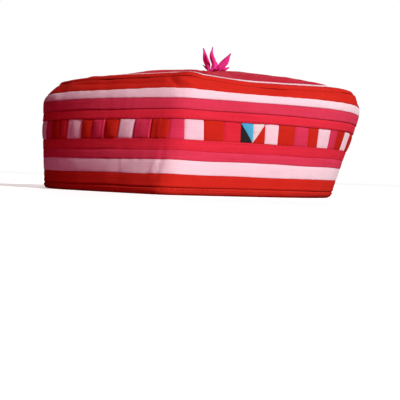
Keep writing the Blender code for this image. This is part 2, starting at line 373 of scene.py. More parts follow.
@dataclass(frozen=True)
class ClothMesh:
    """Points in rows and columns that become a mesh with its cloth map.

    points has a row for each line of the section and a column for each place along it. lengths has the
    cloth's own lengths, with one more row or column where that side closes on itself.
    """

    points: Array
    lengths: Array
    closed_rows: bool = True
    closed_columns: bool = True
    whole: tuple[int, ...] = (0, 1, 2, 3)
    rising_halves: tuple[tuple[int, ...], ...] = ((0, 2, 3), (0, 1, 2))
    falling_halves: tuple[tuple[int, ...], ...] = ((0, 1, 3), (1, 2, 3))

    def quads(self) -> tuple[Array, Array]:
        """Gives the faces.

        Returns:
            The numbers of each face's points, and of its places in the cloth map.
        """
        rows, columns = self.points.shape[:2]
        row, column = np.meshgrid(
            np.arange(rows if self.closed_rows else rows - 1),
            np.arange(columns if self.closed_columns else columns - 1),
            indexing="ij",
        )
        row, column = row.ravel(), column.ravel()
        corners = ((row, column), (row, column + 1), (row + 1, column + 1), (row + 1, column))
        width = self.lengths.shape[1]
        points = np.stack([(r % rows) * columns + c % columns for r, c in corners], -1)
        places = np.stack([r * width + c for r, c in corners], -1)
        return points, places

    def build(
        self,
        name: str,
        materials: Sequence[bpy.types.Material],
        material_of: Array | None = None,
        fields: dict[str, Array] | None = None,
        splits: dict[int, tuple[bool, int, int]] | None = None,
    ) -> Piece:
        """Makes the object.

        Args:
            name: The piece's name.
            materials: Its materials in order.
            material_of: The number of each quad's material.
            fields: Values at the points, by attribute name.
            splits: For a quad that is cut corner to corner, whether the cut rises, and its two materials.

        Returns:
            The object, in the scene.
        """
        quads, places = self.quads()
        faces, face_places, numbers = [], [], []
        for number, (quad, place) in enumerate(zip(quads.tolist(), places.tolist())):
            parts = [(self.whole, 0 if material_of is None else int(material_of[number]))]
            if splits and number in splits:
                rising, *cloths = splits[number]
                parts = zip(self.rising_halves if rising else self.falling_halves, cloths)
            for corners, cloth in parts:
                faces.append([quad[c] for c in corners])
                face_places.append([place[c] for c in corners])
                numbers.append(cloth)
        mesh = bpy.data.meshes.new(name)
        mesh.from_pydata(self.points.reshape(-1, 3).tolist(), [], faces)
        cloth_map = mesh.uv_layers.new(name=CLOTH_MAP)
        order = np.concatenate([np.array(place) for place in face_places])
        cloth_map.data.foreach_set("uv", self.lengths.reshape(-1, 2)[order].astype(np.float32).ravel())
        for material in materials:
            mesh.materials.append(material)
        mesh.polygons.foreach_set("material_index", numbers)
        for title, values in (fields or {}).items():
            attribute = mesh.attributes.new(title, "FLOAT", "POINT")
            attribute.data.foreach_set("value", np.asarray(values, np.float32).ravel())
        return place_mesh(name, mesh)


def linked(name: str, data: bpy.types.ID) -> Piece:
    """Puts a new object in the scene.

    Args:
        name: Its name.
        data: Its mesh, light or camera.

    Returns:
        The object.
    """
    thing = bpy.data.objects.new(name, data)
    bpy.context.scene.collection.objects.link(thing)
    return thing


def place_mesh(name: str, mesh: bpy.types.Mesh) -> Piece:
    """Puts a finished mesh in the scene, smooth and free of stray parts.

    Args:
        name: The piece's name.
        mesh: Its mesh.

    Returns:
        The object.
    """
    mesh.update()
    mesh.validate()
    mesh.shade_smooth()
    return linked(name, mesh)


class Graph:
    """Adds and joins nodes in one node tree."""

    def __init__(self, tree: bpy.types.NodeTree) -> None:
        """Keeps the tree."""
        self.tree = tree

    def add(self, kind: str, inputs: dict[Any, Any] | None = None, **settings: Any) -> bpy.types.Node:
        """Adds a node.

        Args:
            kind: The node's type.
            inputs: Values or sockets for its inputs, by name or number.
            settings: Its own settings.

        Returns:
            The node.
        """
        node = self.tree.nodes.new(kind)
        for title, value in settings.items():
            setattr(node, title, value)
        self.feed(node, inputs or {})
        return node

    def feed(self, node: bpy.types.Node, inputs: dict[Any, Any]) -> None:
        """Sets a node's inputs.

        Args:
            node: The node.
            inputs: Values or sockets for its inputs, by name or number.
        """
        for title, value in inputs.items():
            if isinstance(value, bpy.types.NodeSocket):
                self.tree.links.new(value, node.inputs[title])
            else:
                node.inputs[title].default_value = value

    def sum(self, operation: str, *values: Any) -> bpy.types.NodeSocket:
        """Returns the result of a Math node."""
        return self.add("ShaderNodeMath", dict(enumerate(values)), operation=operation).outputs[0]

    def blend(self, share: Any, low: Any, high: Any) -> bpy.types.NodeSocket:
        """Returns the colour this share of the way from low to high."""
        return self.add("ShaderNodeMix", {0: share, 6: low, 7: high}, data_type="RGBA").outputs[2]

    def spread(self, value: Any, low: float, high: float, out_low: float = 0.0,
               out_high: float = 1.0) -> bpy.types.NodeSocket:
        """Returns a value carried from one range to another, held at its ends."""
        inputs = {"Value": value, "From Min": low, "From Max": high, "To Min": out_low, "To Max": out_high}
        return self.add("ShaderNodeMapRange", inputs).outputs[0]

    def noise(self, place: Any, size: tuple[float, ...], detail: float) -> bpy.types.NodeSocket:
        """Adds noise.

        Args:
            place: Where it is read.
            size: About how large its bumps are, in all directions or in the map's two.
            detail: How many finer layers it has.

        Returns:
            Its value.
        """
        lengths = (*size, 1.0) if len(size) == 2 else size * 3
        scale = tuple(1.0 / length for length in lengths)
        stretched = self.add("ShaderNodeMapping", {"Vector": place, "Scale": scale}).outputs[0]
        inputs = {"Vector": stretched, "Scale": 1.0, "Detail": detail}
        return self.add("ShaderNodeTexNoise", inputs).outputs[0]


def new_material(name: str) -> tuple[bpy.types.Material, Graph, bpy.types.Node]:
    """Starts a material.

    Args:
        name: Its name.

    Returns:
        The material, its graph and its shader.
    """
    material = bpy.data.materials.new(name)
    material.use_nodes = True
    return material, Graph(material.node_tree), material.node_tree.nodes["Principled BSDF"]


def node_group(name: str, kind: str, inputs: dict[str, str], outputs: dict[str, str]) -> tuple[Any, ...]:
    """Starts a node group.

    Args:
        name: The group's name.
        kind: Shader or Geometry.
        inputs: The kind of each input's socket, by name.
        outputs: The kind of each output's socket, by name.

    Returns:
        The group, its graph, the sockets that it is given and the node that takes its results.
    """
    tree = bpy.data.node_groups.new(name, kind + "NodeTree")
    for side, sockets in (("INPUT", inputs), ("OUTPUT", outputs)):
        for title, socket in sockets.items():
            tree.interface.new_socket(name=title, in_out=side, socket_type="NodeSocket" + socket)
    graph = Graph(tree)
    return tree, graph, graph.add("NodeGroupInput").outputs, graph.add("NodeGroupOutput")


@dataclass(frozen=True)
class ClothGroups:
    """The shader groups that every cloth shares."""

    yarn_wander: float = 1.6
    yarn_wander_size: Pair = (4.0 * MM, 4.0 * MM)
    yarn_low: float = 0.6
    yarn_bulge: float = 0.4
    gap_width: float = 0.35
    blotch_size: tuple[float] = (17.0 * MM,)
    streak_size: Pair = (26.0 * MM, 0.9 * MM)
    yarn_streak_size: Pair = (0.5 * MM, 7.0 * MM)
    yarn_streak_share: float = 0.5
    piece_tone_share: float = 0.5
    wear_size: tuple[float] = (3.0 * MM,)
    wear_range: Pair = (0.38, 0.68)
    raised_range: Pair = (0.35, 1.0)
    wear_fading: float = 0.35
    gap_shade: float = 0.30
    seam_black: float = 0.6

    @cached_property
    def weave(self) -> bpy.types.NodeTree:
        """Plain weave: the height of the threads, and the gaps between them."""
        sockets = {"Place": "Vector", "Threads": "Float"}, {"Height": "Float", "Gap": "Float"}
        tree, graph, given, result = node_group("plain_weave", "Shader", *sockets)
        wander = graph.noise(given["Place"], self.yarn_wander_size, 1.0)
        split = graph.add("ShaderNodeSeparateXYZ", {0: given["Place"]})
        profiles, cells = [], []
        for side in (0, 1):
            threads = graph.sum("MULTIPLY", split.outputs[side], given["Threads"])
            threads = graph.sum("MULTIPLY_ADD", wander, self.yarn_wander, threads)
            profiles.append(graph.sum("ABSOLUTE", graph.sum("SINE", graph.sum("MULTIPLY", threads, math.pi))))
            cells.append(graph.sum("FLOOR", threads))
        over = graph.sum("PINGPONG", graph.sum("ADD", *cells), 1.0)
        raised = [graph.sum("MULTIPLY_ADD", one, self.yarn_bulge, self.yarn_low) for one in profiles[::-1]]
        warp, weft = (graph.sum("MULTIPLY", *both) for both in zip(profiles, raised))
        height = graph.add("ShaderNodeMix", {0: over, 2: warp, 3: weft}, data_type="FLOAT").outputs[0]
        gap = graph.spread(graph.sum("MULTIPLY", *profiles), 0.0, self.gap_width, 1.0, 0.0)
        graph.feed(result, {"Height": height, "Gap": gap})
        return tree

    @cached_property
    def tone(self) -> bpy.types.NodeTree:
        """Uneven dye: blotches over the cloth and streaks along its threads, as a light to dark value."""
        tree, graph, given, result = node_group(
            "uneven_dye",
            "Shader",
            {"Place": "Vector", "Blotches": "Float", "Streaks": "Float"},
            {"Tone": "Float"},
        )
        where, place = graph.add("ShaderNodeTexCoord").outputs["Object"], given["Place"]
        blotch, streak, thread = (
            graph.sum("SUBTRACT", graph.noise(source, size, detail), 0.5)
            for source, size, detail in (
                (where, self.blotch_size, 3.0),
                (place, self.streak_size, 2.0),
                (place, self.yarn_streak_size, 1.0),
            )
        )
        streaks = given["Streaks"]
        total = graph.sum("MULTIPLY", blotch, given["Blotches"])
        total = graph.sum("MULTIPLY_ADD", streak, streaks, total)
        fine = graph.sum("MULTIPLY", streaks, self.yarn_streak_share)
        graph.feed(result, {"Tone": graph.sum("MULTIPLY_ADD", thread, fine, total)})
        return tree

    @cached_property
    def shade_and_wear(self) -> bpy.types.NodeTree:
        """Sewn cloth: painted shade in its seams and in the gaps between its threads, faded where it stands
        out and rubs.
        """
        tree, graph, given, result = node_group(
            "seam_shade_and_wear",
            "Shader",
            {"Colour": "Color", "Deep": "Color", "Faded": "Color", "Tone": "Float", "Gap": "Float"},
            {"Colour": "Color", "Rubbed": "Float"},
        )
        seam, raised, piece = (
            graph.add("ShaderNodeAttribute", attribute_name=title).outputs["Fac"]
            for title in (SEAM_SHADE, RAISED, TONE)
        )
        colour, deep, faded = (given[title] for title in ("Colour", "Deep", "Faded"))
        tone = graph.sum("MULTIPLY_ADD", piece, self.piece_tone_share, given["Tone"])
        where = graph.add("ShaderNodeTexCoord").outputs["Object"]
        patchy = graph.spread(graph.noise(where, self.wear_size, 3.0), *self.wear_range)
        rubbed = graph.sum("MULTIPLY", graph.spread(raised, *self.raised_range), patchy)
        for share, other in (
            (graph.spread(tone, 0.0, -1.0), deep),
            (graph.spread(tone, 0.0, 1.0), faded),
            (graph.sum("MULTIPLY", rubbed, self.wear_fading), faded),
            # Painted shade: darker in the weave's gaps and beside the seams, following the seam_shade
            # attribute.
            (graph.sum("MULTIPLY", given["Gap"], self.gap_shade), deep),
            (seam, graph.blend(self.seam_black, BLACK, deep)),
        ):
            colour = graph.blend(share, colour, other)
        graph.feed(result, {"Colour": colour, "Rubbed": rubbed})
        return tree


@dataclass(frozen=True)
class ClothFinish:
    """One cloth: its colours, its dye, its weave and how it takes light."""

    cloth: Cloth
    slot: str
    colour: Triple
    deep: Triple
    faded: Triple
    blotches: float = 0.70
    streaks: float = 0.80
    roughness: float = 0.82
    sheen: float = 0.02
    threads: float = 2400.0
    weave_height: float = 0.09 * MM
    nap_height: float = 0.10 * MM
    nap_size: Pair = (0.9 * MM, 0.9 * MM)
    rubbed_roughness: float = 0.08
    tone_roughness: float = 0.10
    sheen_roughness: float = 0.5
    shine: float = 0.08

    def material(self, groups: ClothGroups) -> bpy.types.Material:
        """Builds the material.

        Args:
            groups: The shared shader groups.

        Returns:
            The material.
        """
        material, graph, shader = new_material(self.cloth.value + "_cloth")
        place = graph.add("ShaderNodeUVMap", uv_map=CLOTH_MAP).outputs[0]
        group = "ShaderNodeGroup"
        weave = graph.add(group, {"Place": place, "Threads": self.threads}, node_tree=groups.weave)
        dye = {"Place": place, "Blotches": self.blotches, "Streaks": self.streaks}
        tone = graph.add(group, dye, node_tree=groups.tone).outputs["Tone"]
        colours = (("Colour", self.colour), ("Deep", self.deep), ("Faded", self.faded))
        shade_and_wear_inputs = {title: (*value, 1.0) for title, value in colours}
        shade_and_wear_inputs.update({"Tone": tone, "Gap": weave.outputs["Gap"]})
        shade_and_wear = graph.add(group, shade_and_wear_inputs, node_tree=groups.shade_and_wear)
        rough = graph.sum("MULTIPLY_ADD", shade_and_wear.outputs["Rubbed"], self.rubbed_roughness, self.roughness)
        nap = graph.noise(place, self.nap_size, 3.0)
        height = graph.sum("MULTIPLY", weave.outputs["Height"], self.weave_height / MM)
        height = graph.sum("MULTIPLY_ADD", nap, self.nap_height / MM, height)
        bump = graph.add("ShaderNodeBump", {"Height": height, "Strength": 1.0, "Distance": MM})
        graph.feed(
            shader,
            {
                "Base Color": shade_and_wear.outputs["Colour"],
                "Roughness": graph.sum("MULTIPLY_ADD", tone, self.tone_roughness, rough),
                "Sheen Weight": self.sheen,
                "Sheen Roughness": self.sheen_roughness,
                "Sheen Tint": (*self.faded, 1.0),
                "Specular IOR Level": self.shine,
                "Normal": bump.outputs[0],
            },
        )
        return material


def shade(colour: Triple, *powers: float) -> Triple:
    """Returns a colour with each of its parts scaled."""
    return tuple(min(part * power, 1.0) for part, power in zip(colour, powers))


@dataclass
class ClothShop:
    """Holds every finish, and makes each material once."""

    groups: ClothGroups = field(default_factory=ClothGroups)
    made: dict[Cloth, bpy.types.Material] = field(default_factory=dict)
    # deep and pale_deep scale a cloth's colour to the darker colour it takes both in its uneven dye and in
    # its painted seam shade.
    deep: Triple = (0.50, 0.30, 0.32)
    pale_deep: Triple = (0.68, 0.30, 0.40)
    faded: Triple = (1.10, 1.9, 1.7)

    @cached_property
    def finishes(self) -> dict[Cloth, ClothFinish]:
        """The finishes by cloth."""
        pale = {"blotches": 0.35, "streaks": 0.40, "sheen": 0.30}
        pale_patch = {"blotches": 0.30, "streaks": 0.25, "sheen": 0.30}
        thread = {"threads": 3600.0}
        rows = (
            (Cloth.RED, "red_cloth", (0.65, 0.022, 0.013), {}),
            (Cloth.HEM_RED, "red_cloth", (0.63, 0.024, 0.014), {"streaks": 0.6}),
            (Cloth.PALE, "pale_pink_cloth", (0.98, 0.78, 0.86), pale),
            (Cloth.MAGENTA, "magenta_cloth", (0.76, 0.048, 0.108), {}),
            (Cloth.ROSE, "rose_cloth", (0.80, 0.029, 0.060), {}),
            (Cloth.RED_PATCH, "patch_cloth", (0.62, 0.020, 0.010), {}),
            (Cloth.MAGENTA_PATCH, "patch_cloth", (0.76, 0.042, 0.112), {}),
            (Cloth.ROSE_PATCH, "patch_cloth", (0.75, 0.024, 0.048), {}),
            (Cloth.PALE_PATCH, "patch_cloth", (0.98, 0.78, 0.86), pale_patch),
            (Cloth.BLUE_PATCH, "patch_cloth", (0.072, 0.456, 0.753), {"streaks": 0.3}),
            (Cloth.BLACK_PATCH, "patch_cloth", (0.022, 0.020, 0.018), {}),
            (Cloth.WHITE_PATCH, "patch_cloth", (0.90, 0.78, 0.78), {"blotches": 0.25}),
            (Cloth.CROWN, "magenta_cloth", (0.62, 0.022, 0.050), {}),
            (Cloth.LINING, "lining_cloth", (0.16, 0.012, 0.012), {"threads": 1900.0}),
            (Cloth.TUFT, "tuft_cloth", (0.95, 0.048, 0.38), {"sheen": 0.1}),
            (Cloth.RED_THREAD, "red_cloth", (0.50, 0.014, 0.010), thread),
            (Cloth.DARK_THREAD, "magenta_cloth", (0.40, 0.012, 0.025), thread),
            (Cloth.ROSE_THREAD, "rose_cloth", (0.66, 0.026, 0.052), thread),
        )
        finishes = {}
        for cloth, slot, colour, facts in rows:
            deep = self.pale_deep if cloth in (Cloth.PALE, Cloth.PALE_PATCH) else self.deep
            colours = (colour, shade(colour, *deep), shade(colour, *self.faded))
            finishes[cloth] = ClothFinish(cloth, slot, *colours, **facts)
        return finishes

    def material(self, cloth: Cloth) -> bpy.types.Material:
        """Gives a cloth's material, made when it is first asked for.

        Args:
            cloth: The cloth.

        Returns:
            The material.
        """
        if cloth not in self.made:
            self.made[cloth] = self.finishes[cloth].material(self.groups)
        return self.made[cloth]

    def slot(self, cloth: Cloth) -> str:
        """Returns the slot of a cloth's finish."""
        return self.finishes[cloth].slot


@dataclass
class Workroom:
    """What every sub-assembly needs: the cap's form, the cloths, and the list of pieces made."""

    band: BandForm = field(default_factory=BandForm)
    shop: ClothShop = field(default_factory=ClothShop)
    pieces: list[Piece] = field(default_factory=list)

    def fit(self, piece: Piece, cloth: Cloth, *nodes: str) -> Piece:
        """Ties a finished piece to the body, hides the CAD nodes that it stands for and adds it to the list
        of pieces.

        Args:
            piece: The finished piece.
            cloth: Its main cloth.
            nodes: The CAD nodes that it replaces.

        Returns:
            The piece.
        """
        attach(piece, BODY)
        self.shop.slot(cloth)
        if nodes:
            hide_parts(*nodes)
        self.pieces.append(piece)
        LOG.info("%s: %d faces", piece.name, len(piece.data.polygons))
        return piece


@dataclass(frozen=True)
class Fold:
    """A fold line in the band, in mm: a ridge, or a valley where its height is below nothing."""

    start: Pair
    end: Pair
    width: float
    height: float
    fade_pace: float = 4.0
    fade_from: float = 0.35

    def at(self, girth: Array, rise: Array) -> Array:
        """Gives how far the cloth stands out.

        Args:
            girth: Lengths round the band from the front crease.
            rise: Lengths up the wall.

        Returns:
            Lengths out of the wall.
        """
        start, end = np.array(self.start) * MM, np.array(self.end) * MM
        along = end - start
        length = np.linalg.norm(along)
        share = ((girth - start[0]) * along[0] + (rise - start[1]) * along[1]) / length**2
        held = np.clip(share, 0.0, 1.0)
        away = np.hypot(girth - start[0] - held * along[0], rise - start[1] - held * along[1])
        first, last = (eased(part * self.fade_pace + self.fade_from) for part in (held, 1.0 - held))
        return self.height * MM * bell(away, self.width * MM) * (first * last)


@dataclass(frozen=True)
class BandRelief:
    """How the sewn band's surface stands out from the plain form."""

    soft: ClothNoise = ClothNoise(11, 15, 26.0 * MM)
    fine: ClothNoise = ClothNoise(12, 64, 7.0 * MM)
    pucker: ClothNoise = ClothNoise(13, 190, 9.0 * MM)
    top_gather: ClothNoise = ClothNoise(14, 44, 30.0 * MM)
    soft_height: float = 0.45 * MM
    fine_height: float = 0.10 * MM
    pucker_height: float = 0.17 * MM
    gather_height: float = 0.55 * MM
    gather_start: float = 57.0 * MM
    gather_reach: float = 12.0 * MM
    gather_base: float = 0.2
    folds: tuple[Fold, ...] = (
        Fold((-78.0, 67.5), (-9.0, 66.6), 1.1, -0.9),
        Fold((-10.0, 69.5), (-2.5, 63.2), 1.0, -0.8),
        Fold((-5.0, 69.5), (5.5, 64.5), 1.5, 0.7),
        Fold((12.0, 68.6), (44.0, 66.0), 1.2, -0.8),
        Fold((52.0, 69.4), (70.0, 66.4), 1.2, -0.6),
        Fold((-6.5, 6.0), (-5.0, 30.0), 1.6, -0.35),
        Fold((-12.0, 8.0), (-8.0, 22.0), 1.3, 0.25),
        Fold((118.0, 68.0), (150.0, 66.0), 1.4, -0.8),
        Fold((-150.0, 66.0), (-118.0, 68.5), 1.4, -0.8),
        Fold((205.0, 69.0), (250.0, 65.5), 1.2, -0.8),
        Fold((-262.0, 65.5), (-215.0, 68.5), 1.2, -0.7),
    )

    def at(self, girth: Array, rise: Array, whole: float) -> Array:
        """Gives the relief that all strips share.

        Args:
            girth: Lengths round the band from the front crease.
            rise: Lengths up the wall.
            whole: The band's whole girth.

        Returns:
            Lengths out of the wall.
        """
        turn = girth / whole
        out = self.soft_height * (1.0 + self.soft.at(turn, rise))
        out = out + self.fine_height * self.fine.at(turn, rise)
        gather = eased((rise - self.gather_start) / self.gather_reach)
        out = out + self.gather_height * gather * (self.gather_base + self.top_gather.at(turn, rise))
        for fold in self.folds:
            out = out + fold.at(girth, rise)
        return out


@dataclass(frozen=True)
class Boundary:
    """The seam between two strips: how far up it runs, how it laps, and how dark it shows."""

    rise: float
    lap: float = 0.0
    tuck: float = 0.30 * MM
    shade: float = 0.25
    shade_reach: float = 0.45 * MM
    wander: float = 0.22 * MM
    seed: int = 0

    def line(self, turn: Array) -> Array:
        """Returns the seam's rise at shares of the way round."""
        uneven = ClothNoise(40 + self.seed, 26, 10.0 * MM).at(turn, 0.0 * turn)
        return self.rise + self.wander * uneven

    def dark(self, away: Array) -> Array:
        """Returns the share of shade at distances from the seam."""
        return self.shade * np.exp(-away / self.shade_reach)


STRIP_THICKNESS = 1.0 * MM
STRIP_GAP = 0.06 * MM
LINING_DEPTH = 1.3 * MM
LINING_THICKNESS = 1.0 * MM
PUFF_POWER = 0.6
BACK_SHADE = 0.3

HEM_TOP = Boundary(4.5 * MM, lap=0.25 * MM, tuck=0.40 * MM, shade=0.60, shade_reach=0.50 * MM, seed=1)
BOUNDARIES = (
    HEM_TOP,
    Boundary(11.9 * MM, tuck=0.12 * MM, shade=0.08, seed=2),
    Boundary(20.1 * MM, lap=0.08 * MM, tuck=0.14 * MM, shade=0.10, seed=3),
    Boundary(25.7 * MM, tuck=0.14 * MM, shade=0.05, seed=4),
    Boundary(32.1 * MM, lap=-0.10 * MM, tuck=0.10 * MM, shade=0.10, seed=5),
    Boundary(44.1 * MM, lap=0.20 * MM, tuck=0.24 * MM, shade=0.28, shade_reach=0.5 * MM, seed=6),
    Boundary(50.0 * MM, lap=0.15 * MM, tuck=0.30 * MM, shade=0.42, shade_reach=0.40 * MM, seed=7),
    Boundary(56.8 * MM, lap=0.06 * MM, tuck=0.12 * MM, shade=0.34, seed=8),
    Boundary(62.7 * MM, lap=0.05 * MM, tuck=0.12 * MM, shade=0.06, seed=9),
    Boundary(70.9 * MM, tuck=0.25 * MM, shade=0.70, shade_reach=0.5 * MM, wander=0.0, seed=10),
)


def seam_to_seam(lower: Boundary, upper: Boundary, turn: Array) -> tuple[Array, Array]:
    """Returns the rises of a strip's two edges, half a gap inside its seams."""
    return lower.line(turn) + STRIP_GAP / 2, upper.line(turn) - STRIP_GAP / 2


def two_sided(dark: Array, out: Array, rubbed_at: float, back_rows: int,
              back_shade: float = 0.0) -> dict[str, Array]:
    """Gives a face's seam shade and wear, with those of the plain back behind it.

    Args:
        dark: The face's seam shade.
        out: How far the face stands out.
        rubbed_at: How far it stands out where it is rubbed most.
        back_rows: The rows of the back.
        back_shade: The back's seam shade.

    Returns:
        Values at the points, by attribute name.
    """
    back = np.zeros((back_rows, dark.shape[1]))
    return {
        SEAM_SHADE: np.concatenate((dark, back + back_shade)),
        RAISED: np.concatenate((np.clip(out / rubbed_at, 0.0, 1.0), back)),
    }


@dataclass(frozen=True)
class Strip:
    """One plain strip of the band."""

    node: str
    cloth: Cloth
    lower: Boundary
    upper: Boundary
    puff: float = 0.15 * MM
    rows: int = 14
    columns: int = 448
    edge_width: float = 0.9 * MM
    seam_reach: float = 1.7 * MM
    foot_shade: float = 0.40
    lap_spread: float = 2.0
    foot_tuck: float = 0.5
    foot_spread: float = 0.35
    back_shares: tuple[float, ...] = (0.02, 0.35, 0.65, 0.98)
    rubbed_at: float = 1.3 * MM

    def relief(self, room: Workroom, girth: Array, rise: Array) -> tuple[Array, Array]:
        """Gives how the face stands out and how dark its seams show.

        Args:
            room: The workroom.
            girth: Lengths round the band.
            rise: Rises on the strip's face.

        Returns:
            Lengths out of the wall, and shares of seam shade.
        """
        form = BandRelief()
        turn = girth / room.band.girth
        from_low, from_high = rise - rise[0], rise[-1] - rise
        share = from_low / (from_low + from_high)
        out = form.at(girth, rise, room.band.girth)
        out = out + self.puff * np.sin(np.pi * share) ** PUFF_POWER
        out = out + self.lower.lap * bell(from_low, self.lap_spread * self.edge_width)
        out = out - self.upper.tuck * bell(from_high, self.edge_width)
        out = out - self.foot_tuck * self.lower.tuck * bell(from_low, self.foot_spread * self.edge_width)
        near = np.exp(-from_low / self.seam_reach) + np.exp(-from_high / self.seam_reach)
        out = out + form.pucker_height * form.pucker.at(turn, rise) * near
        return out, self.upper.dark(from_high) + self.foot_shade * self.lower.dark(from_low)

    def build(self, room: Workroom) -> Piece:
        """Builds and fits the strip.

        Args:
            room: The workroom.

        Returns:
            The piece.
        """
        band = room.band
        girth = band.girths(self.columns)
        low, high = seam_to_seam(self.lower, self.upper, girth / band.girth)
        rise = mix(low, high, cosine_shares(self.rows)[:, None])
        out, dark = self.relief(room, girth, rise)
        around = band.around_at(girth)
        back_rise = mix(rise[-1], rise[0], np.array(self.back_shares)[:, None])
        back = band.wall(around, back_rise, np.full(back_rise.shape, STRIP_THICKNESS))
        points = np.concatenate((band.wall(around, rise, -out), back))
        lengths = band.cloth_lengths(girth, np.concatenate((rise, back_rise, rise[:1])))
        piece = ClothMesh(points, lengths).build(
            self.node + "_cloth",
            [room.shop.material(self.cloth)],
            fields=two_sided(dark, out, self.rubbed_at, len(back_rise), BACK_SHADE),
        )
        return room.fit(piece, self.cloth, self.node)


STRIPS = (
    Strip("red_strip_lower", Cloth.RED, BOUNDARIES[0], BOUNDARIES[1]),
    Strip("pale_strip_lower", Cloth.PALE, BOUNDARIES[1], BOUNDARIES[2], foot_shade=0.0),
    Strip("magenta_strip_lower", Cloth.MAGENTA, BOUNDARIES[2], BOUNDARIES[3]),
    Strip("rose_strip_lower", Cloth.ROSE, BOUNDARIES[3], BOUNDARIES[4]),
    Strip("rose_strip_upper", Cloth.ROSE, BOUNDARIES[5], BOUNDARIES[6]),
    Strip("magenta_strip_upper", Cloth.MAGENTA, BOUNDARIES[6], BOUNDARIES[7]),
    Strip("pale_strip_upper", Cloth.PALE, BOUNDARIES[7], BOUNDARIES[8], foot_shade=0.60),
    Strip("red_strip_upper", Cloth.RED, BOUNDARIES[8], BOUNDARIES[9], rows=18),
)


@dataclass(frozen=True)
class Patch:
    """One patch of the row: where it ends, its cloths, its cut, and how high its right edge is pinched."""

    end: float
    cloth: Cloth
    cut: Cut = Cut.PLAIN
    second: Cloth | None = None
    tucks: int = 0
    pinch: float = 0.0


